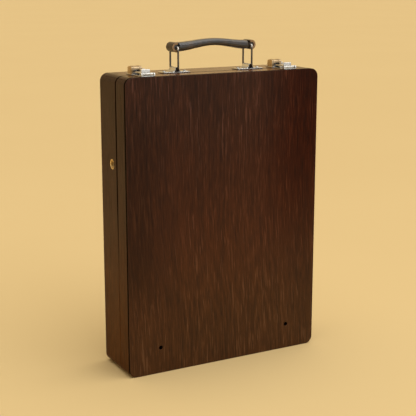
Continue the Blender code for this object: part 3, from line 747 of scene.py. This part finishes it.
def board_outlines():
    """Outlines of the bottom, right, top and left boards, mitred at the corners."""
    x, low, high = HALF_WIDTH - CORNER, CORNER, HEIGHT - CORNER
    centres = [(-x, low), (x, low), (x, high), (-x, high)]
    reach = HALF_WIDTH - BOARD
    inner = [(-reach, BOARD), (reach, BOARD), (reach, HEIGHT - BOARD), (-reach, HEIGHT - BOARD)]
    along = [(1, 0), (0, 1), (-1, 0), (0, -1)]
    turn = math.degrees(MITRE_GAP / CORNER)
    shift = MITRE_GAP * math.sqrt(2)
    outlines = []
    for side in range(4):
        after = (side + 1) % 4
        start = 225 + 90 * side
        dx, dz = along[side]
        points = arc(centres[side], CORNER, start + turn, start + 45, 12)
        points += arc(centres[after], CORNER, start + 45, start + 90 - turn, 12)
        points.append((inner[after][0] - dx * shift, inner[after][1] - dz * shift))
        points.append((inner[side][0] + dx * shift, inner[side][1] + dz * shift))
        outlines.append(points)
    return outlines


def panels():
    """The lid's front panel with its two peg holes, and the back panel."""
    outer = rounded((-HALF_WIDTH, HALF_WIDTH), (0, HEIGHT), CORNER, 24)
    holes = [
        rod("Y", (side * PEG_X, PEG_Z), PEG_RADIUS, PANEL_LOW.y - MM, PANEL_HIGH.y + MM)
        for side, _ in LEFT_RIGHT
    ]
    rounding = {"bevel": PANEL_EASE, "segments": 3}
    front = carved(prism(outer, "Y", PANEL_LOW.y, PANEL_HIGH.y), *holes)
    piece("front_panel", front, walnut_front, stands_for="lid_front_panel", **rounding)
    back = prism(outer, "Y", BACK_LOW.y, BACK_HIGH.y)
    piece("back_panel", back, walnut_back, stands_for="base_back_panel", **rounding)


def socket_bored(board, side):
    """A side board of the base with the socket's bore and the wider sink for its rim."""
    outside = side * (HALF_WIDTH + MM)
    through = sorted((outside, side * (HALF_WIDTH - 2 * BOARD)))
    rim = sorted((outside, side * (HALF_WIDTH - SOCKET_SINK - SOCKET_RIM_DEPTH)))
    return carved(
        board,
        rod("X", SOCKET_AT, SOCKET_BORE, *through, sides=48),
        rod("X", SOCKET_AT, SOCKET_RIM, *rim, sides=48),
    )


def boards():
    """The frames of the lid and the base. The bottom boards keep the CAD's hinge recesses."""
    kinds = (
        ("bottom", walnut_foot, 0),
        ("right", walnut_side, 1),
        ("top", walnut_rail_painted_lit, 0),
        ("left", walnut_side, -1),
    )
    lid_span = (LID_LOW.y, LID_HIGH.y - SEAM_EASE)
    base_span = (BASE_LOW.y + SEAM_EASE, BASE_HIGH.y)
    for half, span in (("lid", lid_span), ("base", base_span)):
        for (name, look, side), outline in zip(kinds, board_outlines()):
            node = f"{half}_{name}_board"
            if name == "bottom":
                eased(node, look, 0.35 * MM)
                continue
            board = prism(outline, "Y", *span)
            if half == "base" and side:
                board = socket_bored(board, side)
            piece(
                f"{half}_{name}_side", board, look, stands_for=node, bevel=0.7 * MM, segments=3
            )


def socket_bushes():
    """A turned brass liner with a rolled lip, sunk a little into each side of the base."""
    profile = [(0.9, 7.5), (0.25, 7.5), (0.05, 7.35), (0.0, 7.1), (0.1, 6.7), (0.5, 6.4)]
    for thread in range(4):
        start = 1.1 + 0.82 * thread
        profile += [(start, 6.28), (start + 0.16, 6.28)]
        profile += [(start + 0.36, 6.62), (start + 0.62, 6.62)]
    profile += [(4.6, 6.3), (5.0, 6.5), (5.0, 6.98), (1.0, 6.98)]
    for side, name in LEFT_RIGHT:
        face = side * (HALF_WIDTH - SOCKET_SINK)
        turned = [(face - side * depth * MM, radius * MM) for depth, radius in profile]
        liner = lathe(turned, "X", SOCKET_AT, 56, closed=True)
        stands_for = f"socket_bush_{name}"
        piece(f"socket_liner_{name}", liner, satin_brass, stands_for=stands_for, sharp=25)


# Handle

HANDLE_X, HANDLE_Y = 62.5 * MM, -0.5 * MM
RING_LOW = HEIGHT + 4.8 * MM
RING_HIGH = HEIGHT + 37 * MM
RING_REACH = 12.75 * MM
RING_WIRE = 1.4 * MM
RING_CORNER = 2.3 * MM
WIRE_BORE = 1.75 * MM
MOUNT_PLATE = 1.3 * MM
MOUNT_STEP = 0.35 * MM
MOUNT_INSET = 2.2 * MM
SADDLE_REACH = 9.9 * MM
FOOT_REACH = 10.45 * MM
GRIP_HALF_DEPTH = 10.05 * MM
GRIP_MIDDLE, GRIP_END, GRIP_RISE = 5.4 * MM, 6.9 * MM, 5.9 * MM
GRIP_SIDES, GRIP_STATIONS = 44, 110
SQUARE_DEPTH, SQUARE_HEIGHT = 0.62, 0.72
BODY_REACH, BODY_ROUNDING = 59.2 * MM, 1.8 * MM
# Each crease's place along the grip, depth and width, in millimetres
CREASES = (
    (30.5, 0.35, 0.9),
    (33.0, 0.25, 0.7),
    (36.0, 0.30, 0.9),
    (47, 0.20, 1.2),
    (56.5, 0.35, 1.0),
)
LOOP_RADIUS = 7.2 * MM
LOOP_SHIFT = 1.2 * MM
STRAP_THICK = 3.4 * MM
STRAP_REACH = 10.1 * MM


def screw_head(centre, base, radius, height):
    """A domed head with a slot, facing up."""
    profile = [(base, radius), (base + height * 0.25, radius)]
    for i in range(1, 7):
        turn = math.radians(15 * i)
        profile.append(
            (base + height * (0.25 + 0.75 * math.sin(turn)), radius * math.cos(turn))
        )
    x, y = centre
    reach, width = radius * 0.9, radius * 0.14
    depth = (base + height * 0.45, base + height * 2)
    slot = block((x - reach, x + reach), (y - width, y + width), depth)
    return carved(lathe(profile, "Z", centre, 28), slot)


def handle_mounts():
    """A stamped plate with a raised saddle for the ring and a screw at each end."""
    for side, name in LEFT_RIGHT:
        node = f"handle_mount_{name}"
        low, high = box_of(node)
        x = side * HANDLE_X
        deck = low.z + MOUNT_PLATE
        foot = deck - 0.2 * MM
        plate = prism(rounded((low.x, high.x), (low.y, high.y), 3.2 * MM), "Z", low.z, deck)
        piece(
            f"handle_plate_{name}", plate, nickel, stands_for=node, bevel=0.45 * MM, segments=3
        )
        ends = (
            (-1, "a", (low.x + MOUNT_INSET, x - 8.5 * MM)),
            (1, "b", (x + 8.5 * MM, high.x - MOUNT_INSET)),
        )
        for way, end, span in ends:
            outline = rounded(span, (low.y + MOUNT_INSET, high.y - MOUNT_INSET), 2 * MM)
            step = prism(outline, "Z", foot, deck + MOUNT_STEP)
            piece(f"handle_plate_step_{name}_{end}", step, nickel, node, bevel=0.25 * MM)
            screw_at = (x + way * 17 * MM, HANDLE_Y)
            head = screw_head(screw_at, deck + MOUNT_STEP, 2.9 * MM, 1.25 * MM)
            piece(f"handle_screw_{name}_{end}", head, nickel, node, sharp=40)

        depth = (HANDLE_Y - SADDLE_REACH, HANDLE_Y + SADDLE_REACH)
        skirt = [(7.6, 0), (7.6, 0.9), (5.4, 1.3), (4.1, 2.4)]
        skirt = [(x + a * MM, foot + b * MM) for a, b in skirt] + [(x + 3.75 * MM, RING_LOW)]
        bell = skirt + arc((x, RING_LOW), 3.7 * MM, 10, 170, 14) + mirrored(skirt, x)
        bore = rod("Y", (x, RING_LOW), WIRE_BORE, depth[0] - MM, depth[1] + MM, 24)
        saddle = carved(prism(bell, "Y", *depth), bore)
        piece(f"handle_saddle_{name}", saddle, nickel, node, bevel=0.4 * MM, segments=3)

        flare = [(3.9, 1.5), (3.7, 2.4), (2.7, 3.9), (2.0, 5.8), (1.7, 8.0)]
        flare = [(x + a * MM, low.z + b * MM) for a, b in flare]
        flare += mirrored(flare, x)
        for way, end in FRONT_BACK:
            face = HANDLE_Y + way * FOOT_REACH
            cap = prism(flare, "Y", *sorted((face, face + way * 0.85 * MM)))
            bore = rod("Y", (x, RING_LOW), WIRE_BORE, face - 2 * MM, face + 2 * MM, 24)
            piece(
                f"handle_foot_{name}_{end}", carved(cap, bore), gunmetal, node, bevel=0.25 * MM
            )


def handle_rings():
    """A loop of round wire: through the saddle, up both sides and through the grip."""
    near, far = HANDLE_Y - RING_REACH + RING_CORNER, HANDLE_Y + RING_REACH - RING_CORNER
    low, high = RING_LOW + RING_CORNER, RING_HIGH - RING_CORNER
    bends = ((near, low, 180), (far, low, 270), (far, high, 0), (near, high, 90))
    for side, name in LEFT_RIGHT:
        route = []
        for y, z, start in bends:
            bend = arc((y, z), RING_CORNER, start, start + 90, 8)
            route += [(side * HANDLE_X, a, b) for a, b in bend]
        wire = wire_loop(route, RING_WIRE, 18)
        stands_for = f"handle_ring_{name}"
        piece(f"handle_wire_{name}", wire, wire_steel, stands_for=stands_for, sharp=80)


def grip_section(x):
    """The grip's cross-section at x: flatter and higher towards the middle."""
    share = min(abs(x) / HANDLE_X, 1)
    blend = 0.5 - 0.5 * math.cos(math.pi * share)
    half_height = GRIP_MIDDLE + (GRIP_END - GRIP_MIDDLE) * blend
    half_depth = GRIP_HALF_DEPTH
    for at, depth, width in CREASES:
        dip = depth * MM * math.exp(-(((abs(x) / MM - at) / width) ** 2))
        half_height -= dip
        half_depth -= dip
    end = max(0.0, abs(x) - BODY_REACH + BODY_ROUNDING) / BODY_ROUNDING
    shrink = math.sqrt(max(0.0, 1 - min(end, 0.97) ** 2 * 0.42))
    middle = RING_HIGH + GRIP_RISE * (1 - blend)
    points = []
    for i in range(GRIP_SIDES):
        turn = 2 * math.pi * i / GRIP_SIDES
        y = math.copysign(abs(math.cos(turn)) ** SQUARE_DEPTH, math.cos(turn))
        z = math.copysign(abs(math.sin(turn)) ** SQUARE_HEIGHT, math.sin(turn))
        points.append((x, HANDLE_Y + half_depth * shrink * y, middle + half_height * shrink * z))
    return points


def grip():
    """A leather grip: a wrapped body between the rings and a strap that turns round each."""
    node = "handle_grip"
    stations = [BODY_REACH * (2 * i / GRIP_STATIONS - 1) for i in range(GRIP_STATIONS + 1)]
    body = skin([grip_section(x) for x in stations])
    piece("grip_body", body, leather, stands_for=node, sharp=60)
    depth = (HANDLE_Y - STRAP_REACH, HANDLE_Y + STRAP_REACH)
    inner = LOOP_RADIUS - STRAP_THICK
    for side, name in LEFT_RIGHT:
        centre = (side * (HANDLE_X + LOOP_SHIFT), RING_HIGH)
        start = 90 if side < 0 else 270
        strap = arc(centre, LOOP_RADIUS, start - 26, start + 206, 30)
        strap += arc(centre, inner, start + 206, start - 26, 30)
        strap = prism(strap, "Y", *depth)
        piece(f"grip_strap_{name}", strap, strap_leather, node, bevel=0.5 * MM, segments=3)
        band = arc(centre, LOOP_RADIUS - 0.3 * MM, start - 24, start + 204, 30)
        band += arc(centre, inner + 0.2 * MM, start + 204, start - 24, 30)
        for (way, end), edge in zip(FRONT_BACK, depth):
            lip = prism(band, "Y", *sorted((edge + way * 0.12 * MM, edge - way * 1.0 * MM)))
            piece(f"grip_cut_edge_{name}_{end}", lip, raw_edge, node, bevel=0.2 * MM)
        core_depth = (depth[0] + 1.6 * MM, depth[1] - 1.6 * MM)
        core = rod("Y", centre, inner - 0.2 * MM, *core_depth, 36)
        hole_at = (side * HANDLE_X, RING_HIGH)
        hole = rod("Y", hole_at, WIRE_BORE, depth[0] - MM, depth[1] + MM, 28)
        piece(f"grip_core_{name}", carved(core, hole), leather, node, bevel=0.3 * MM)


# Catches. Heights are taken from the top of the case.

DECK = HEIGHT + 0.3 * MM
PLATE_TOP = DECK + 1.1 * MM
SCREW_SEAT = DECK + 1.05 * MM
COVER_FRONT, COVER_BACK, COVER_HALF = -4 * MM, 10 * MM, 8.5 * MM
COVER_WALL = 0.9 * MM
COVER_SHOULDER, COVER_TOP = 6.5 * MM, 12 * MM
BUTTON_Y, BUTTON_Z = 5.8 * MM, HEIGHT + 4.8 * MM
PAD_THICK = 4 * MM
PIVOT_Y, PIVOT_Z = -39.2 * MM, HEIGHT + 3.5 * MM
EAR_RADIUS = 3.05 * MM
PIN_BORE = 1.15 * MM
HASP_TOP, HASP_UNDER = HEIGHT + 5.6 * MM, HEIGHT + 4.2 * MM


def crown(shrink, low):
    """The outline of a catch's cover from the side, shrunk by a wall's thickness."""
    middle, reach = (COVER_FRONT + COVER_BACK) / 2, (COVER_BACK - COVER_FRONT) / 2
    outline = [(COVER_BACK - shrink, low)]
    for i in range(19):
        turn = math.pi * i / 18
        rise = (COVER_TOP - COVER_SHOULDER) * math.sin(turn) ** 0.35
        along = middle + (reach - shrink) * math.cos(turn)
        outline.append((along, HEIGHT + COVER_SHOULDER + rise - shrink))
    outline.append((COVER_FRONT + shrink, low))
    return outline


def latch_housing(name, x):
    """The base's half of a catch: a foot plate and a pressed cover with an open mouth."""
    node = f"latch_case_{name}"
    outline = rounded((x - 10.5 * MM, x + 10.5 * MM), (-9.5 * MM, 13.5 * MM), 2.4 * MM)
    foot = prism(outline, "Z", DECK, PLATE_TOP)
    piece(f"latch_foot_{name}", foot, nickel, stands_for=node, bevel=0.35 * MM, segments=3)

    shell = prism(crown(0, DECK + 0.9 * MM), "X", x - COVER_HALF, x + COVER_HALF)
    inside = COVER_HALF - COVER_WALL
    hollow = prism(crown(COVER_WALL, DECK + 0.2 * MM), "X", x - inside, x + inside)
    mouth_depth = (COVER_FRONT - MM, COVER_FRONT + 3 * MM)
    mouth = block((x - 5.6 * MM, x + 5.6 * MM), mouth_depth, (DECK, HEIGHT + 7.4 * MM))
    bore = rod("X", (BUTTON_Y, BUTTON_Z), 2.1 * MM, x, x + 10 * MM, 28)
    cover = carved(shell, hollow, mouth, bore)
    piece(f"latch_cover_{name}", cover, warm_nickel, node, bevel=0.3 * MM, segments=3)
    for number, at in enumerate((-4.9, 4.9)):
        rib = prism(crown(-0.32 * MM, HEIGHT + 6.4 * MM), "X", x + (at - 1) * MM, x + (at + 1) * MM)
        under = prism(crown(0.4 * MM, HEIGHT + 5 * MM), "X", x - 10 * MM, x + 10 * MM)
        piece(f"latch_rib_{name}_{number}", carved(rib, under), warm_nickel, node, bevel=0.2 * MM)

    inner = carved(
        block((x - 6.4 * MM, x + 6.4 * MM), (1.9 * MM, 8.9 * MM), (DECK + MM, HEIGHT + 8.2 * MM)),
        rod("X", (BUTTON_Y, BUTTON_Z), 2.25 * MM, x - 6.2 * MM, x + 8 * MM, 28),
    )
    piece(f"latch_block_{name}", inner, steel, node, bevel=0.25 * MM)
    for number, at in enumerate((-8.6, 8.6)):
        head = screw_head((x + at * MM, -7.1 * MM), SCREW_SEAT, 1.45 * MM, 0.6 * MM)
        piece(f"latch_foot_screw_{name}_{number}", head, nickel, node, sharp=40)


def latch_thumb(name, x):
    """The button: a turned rod and a thumb pad with fine ridges."""
    node = f"latch_button_{name}"
    pad_x = x + 11.8 * MM
    shaft = rod("X", (BUTTON_Y, BUTTON_Z), 1.85 * MM, x + 0.2 * MM, pad_x + MM, 28)
    piece(f"latch_shaft_{name}", shaft, steel, stands_for=node, bevel=0.2 * MM)
    width = (BUTTON_Y - 3.5 * MM, BUTTON_Y + 3.5 * MM)
    outline = rounded(width, (HEIGHT + 1.8 * MM, HEIGHT + 7.5 * MM), 1.3 * MM)
    grooves = []
    for i in range(4):
        groove_at = (pad_x + PAD_THICK + 0.1 * MM, HEIGHT + (2.9 + i * 1.17) * MM)
        grooves.append(rod("Y", groove_at, 0.36 * MM, 1 * MM, 11 * MM, 14))
    pad = carved(prism(outline, "X", pad_x, pad_x + PAD_THICK), *grooves)
    piece(f"latch_pad_{name}", pad, nickel, node, bevel=0.3 * MM, segments=3)


def hasp_plate(name, x):
    """The lid's half of a catch: a plate with ears, and the pin between them."""
    node = f"hasp_plate_{name}"
    outline = rounded((x - 11 * MM, x + 11 * MM), (-42.4 * MM, -13.5 * MM), 1.6 * MM)
    plate = prism(outline, "Z", DECK, PLATE_TOP)
    piece(f"hasp_base_{name}", plate, nickel, stands_for=node, bevel=0.35 * MM, segments=3)
    ear_foot = DECK + 0.7 * MM
    ear = arc((PIVOT_Y, PIVOT_Z - 0.8 * MM), EAR_RADIUS, 0, 180, 16)
    ear += [(PIVOT_Y - EAR_RADIUS, ear_foot), (PIVOT_Y + EAR_RADIUS, ear_foot)]
    for side, end in LEFT_RIGHT:
        low, high = sorted((x + side * 8.7 * MM, x + side * 10.9 * MM))
        bore = rod("X", (PIVOT_Y, PIVOT_Z), PIN_BORE, low - MM, high + MM, 24)
        eyed = carved(prism(ear, "X", low, high), bore)
        piece(f"hasp_ear_{name}_{end}", eyed, nickel, node, bevel=0.3 * MM, segments=3)
        head = screw_head((x + side * 9.6 * MM, -32.6 * MM), SCREW_SEAT, 1.1 * MM, 0.5 * MM)
        piece(f"hasp_base_screw_{name}_{end}", head, nickel, node, sharp=40)
    profile = [(-10.8, 0.7), (-10.6, 0.9), (10.6, 0.9), (10.8, 0.7)]
    profile = [(x + along * MM, radius * MM) for along, radius in profile]
    pin = lathe(profile, "X", (PIVOT_Y, PIVOT_Z), 24)
    piece(f"hasp_rivet_{name}", pin, steel, stands_for=f"hasp_pin_{name}", sharp=50)


def hasp(name, x):
    """The folding hasp: a strap curled round the pin, its tongue, and a lift for a finger."""
    node = f"hasp_{name}"
    half = 8.2 * MM
    curl = arc((PIVOT_Y, PIVOT_Z), 2.1 * MM, 88, 330, 20)
    curl += [(PIVOT_Y + 3.2 * MM, HASP_UNDER), (-14.2 * MM, HASP_UNDER), (-14.2 * MM, HASP_TOP)]
    bore = rod("X", (PIVOT_Y, PIVOT_Z), PIN_BORE, x - 9 * MM, x + 9 * MM, 24)
    strap = carved(prism(curl, "X", x - half, x + half), bore)
    piece(f"hasp_strap_{name}", strap, nickel, stands_for=node, bevel=0.3 * MM, segments=3)
    outline = [(-4, -15), (4, -15), (4, 0.2), (3.2, 1.0), (-3.2, 1.0), (-4, 0.2)]
    outline = [(x + across * MM, along * MM) for across, along in outline]
    tongue = prism(outline, "Z", HASP_UNDER + 0.1 * MM, HASP_TOP - 0.1 * MM)
    piece(f"hasp_tongue_{name}", tongue, nickel, node, bevel=0.25 * MM)
    outer = [(-34.5 * MM, HASP_TOP - 0.3 * MM)]
    for along, height in ((-34.2, 9.4), (-33.6, 10), (-28.7, 10), (-28.0, 9.3)):
        outer.append((along * MM, HEIGHT + height * MM))
    outer.append((-28.0 * MM, HASP_TOP - 0.3 * MM))
    gap = (HASP_TOP + 0.4 * MM, HEIGHT + 8.7 * MM)
    lifted = carved(
        prism(outer, "X", x - 7 * MM, x + 6.5 * MM),
        block((x - 9 * MM, x + 9 * MM), (-33.3 * MM, -27 * MM), gap),
    )
    piece(f"hasp_lift_{name}", lifted, nickel, node, bevel=0.3 * MM, segments=3)


def catches():
    """Both catches. Each button's spring keeps the CAD's shape, on a mesh of its own."""
    for _, name in LEFT_RIGHT:
        low, high = box_of(f"latch_case_{name}")
        x = (low.x + high.x) / 2
        latch_housing(name, x)
        latch_thumb(name, x)
        hasp_plate(name, x)
        hasp(name, x)
        low, high = box_of(f"latch_spring_{name}")
        spring = eased(f"latch_spring_{name}", steel, 0)
        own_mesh(spring)


# Inside

BRASS_KINDS = (
    "hinge_base_leaf",
    "hinge_lid_leaf",
    "hinge_pin",
    "stay_base_pivot",
    "stay_lid_pivot",
    "stay_base_bar",
    "stay_lid_bar",
    "stay_screw",
    "clamp_screw",
    "turn_button",
)


def rest_of_nodes():
    """CAD nodes whose shape is right keep it, with eased edges and their finish."""
    upright = ("clamp_rail_left", "clamp_rail_right", "palette", "divider_left", "divider_right")
    fittings = [f"{kind}_{side}" for kind in BRASS_KINDS for _, side in LEFT_RIGHT]
    groups = (
        (beech_up, 0.5, upright),
        (beech_across, 0.5, ("clamp_bar", "palette_ledge", "cross_divider")),
        (brass, 0.2, fittings),
        (tin, 0.25, ("tin_tray_left", "tin_tray_right")),
    )
    for look, bevel, nodes in groups:
        for node in nodes:
            eased(node, look, bevel * MM)


# Stage, camera and light

CAMERA_PLACE = (-0.7503, -1.3550, 0.5892)
CAMERA_HEADING = 28.791
CAMERA_PITCH = 12.936
CAMERA_LENS = 89.0
FLOOR_SPAN = 60
PAPER, PALE_PAPER = (0.785, 0.585, 0.285), (0.815, 0.615, 0.305)
BACKDROP = (0.80, 0.56, 0.27)
WORLD_BANDS = (
    (0.0, BACKDROP),
    (0.35, (0.80, 0.56, 0.26)),
    (0.60, (0.46, 0.40, 0.30)),
    (1.0, (0.42, 0.40, 0.36)),
)
ROOM = (0.075, 0.062, 0.050)
CARD = (0.98, 0.96, 0.93)
TOWARDS_ROOM = (-0.25, -0.97, 0)


def stage():
    """A pale floor under the closed case.

    In front of the case, reflections see the dim room and the white card beyond it
    instead of the paper. The floor clears when the lid, which hangs below it, opens.
    """
    bm = bmesh.new()
    bmesh.ops.create_grid(bm, x_segments=24, y_segments=24, size=FLOOR_SPAN)
    mesh = bpy.data.meshes.new("floor")
    bm.to_mesh(mesh)
    bm.free()
    floor = bpy.data.objects.new("floor", mesh)
    bpy.context.scene.collection.objects.link(floor)
    look = Look("paper", "floor")
    tone = look.mix(look.noise(look.place, 1.1, 3, 0.5), PAPER, PALE_PAPER)
    y = look.axes(look.place)[1]
    glossy = look.node("ShaderNodeLightPath").outputs["Is Glossy Ray"]
    reflected = look.mix(look.between(y, -2.2, -3.0), ROOM, CARD)
    tone = look.mix(look.times(look.between(y, -0.9, -1.3), glossy), tone, reflected)
    fine = look.bump(look.noise(look.place, 900, 2), 0.03 * MM, 0.3)
    look.finish(Base_Color=tone, Roughness=0.9, Specular_IOR_Level=0.1, Normal=fine)
    panel = frame["nodes"]["lid_front_panel"]
    lid_place = look.node("ShaderNodeTexCoord", object=panel).outputs["Object"]
    swung = look.vectors("DISTANCE", lid_place, look.place, "Value")
    opened = look.between(swung, 1 * MM, 2 * MM)
    clear = look.node("ShaderNodeBsdfTransparent").outputs["BSDF"]
    paper = look.shader.outputs["BSDF"]
    surface = look.node("ShaderNodeMixShader", {0: opened, 1: paper, 2: clear}).outputs[0]
    look.feed(look.tree.nodes["Material Output"].inputs["Surface"], surface)
    mesh.materials.append(look.material)
    floor.visible_shadow = False


def world():
    """A warm backdrop all round, and a dim room in front of the case that only reflections see."""
    made = bpy.data.worlds.new("studio")
    bpy.context.scene.world = made
    made.use_nodes = True
    sky = Nodes(made.node_tree)
    place = sky.node("ShaderNodeTexCoord").outputs["Generated"]
    height = sky.axes(place)[2]
    seen = sky.node("ShaderNodeLightPath").outputs["Is Camera Ray"]
    ahead = sky.vectors("DOT_PRODUCT", place, TOWARDS_ROOM, "Value")
    room = sky.node("ShaderNodeMapRange", {0: ahead, 1: 0.1, 2: 0.6}).outputs[0]
    above_card = sky.node("ShaderNodeMapRange", {0: height, 1: 0.15, 2: 0.24}).outputs[0]
    front = sky.mix(above_card, CARD, ROOM)
    share = sky.maths("SUBTRACT", room, seen, clamp=True)
    colour = sky.mix(share, sky.ramp(height, WORLD_BANDS), front)
    under = sky.maths("LESS_THAN", height, 0.0)
    dark = sky.maths("SUBTRACT", under, seen, clamp=True)
    colour = sky.mix(dark, colour, (0, 0, 0))
    background = sky.tree.nodes["Background"]
    sky.feed(background.inputs["Color"], colour)
    sky.feed(background.inputs["Strength"], 1.0)


def light(name, kind, place, target, energy, colour, **settings):
    data = bpy.data.lights.new(name, kind)
    data.energy = energy
    data.color = colour
    for key, value in settings.items():
        setattr(data, key, value)
    made = bpy.data.objects.new(name, data)
    made.location = place
    toward = Vector(target) - Vector(place)
    made.rotation_euler = toward.to_track_quat("-Z", "Y").to_euler()
    made.visible_camera = False
    bpy.context.scene.collection.objects.link(made)


def lights():
    """A very soft sky from the upper right, and a long strip for the edges' shine."""
    sky_place, sky_target = (0.5, -0.7, 2.55), (0, 0, 0.25)
    warm_white, cool_white = (1.0, 0.97, 0.92), (0.94, 0.96, 1.0)
    light("sky", "SUN", sky_place, sky_target, 1.98, warm_white, angle=math.radians(80))
    strip_place, strip_target = (0.35, -1.5, 1.35), (0, 0, 0.46)
    size = {"shape": "RECTANGLE", "size": 1.6, "size_y": 0.12}
    light("strip", "AREA", strip_place, strip_target, 4.5, cool_white, **size)


def camera():
    """The camera at the photograph's viewing angle."""
    data = bpy.data.cameras.new("camera")
    data.lens = CAMERA_LENS
    data.sensor_width = 36
    data.clip_end = 200
    made = bpy.data.objects.new("camera", data)
    made.location = CAMERA_PLACE
    turn = (math.radians(90 - CAMERA_PITCH), 0, -math.radians(CAMERA_HEADING))
    made.rotation_euler = Euler(turn)
    bpy.context.scene.collection.objects.link(made)
    bpy.context.scene.camera = made


bpy.context.scene.view_settings.view_transform = "Standard"
stage()
world()
lights()
camera()
panels()
boards()
socket_bushes()
handle_mounts()
handle_rings()
grip()
catches()
rest_of_nodes()
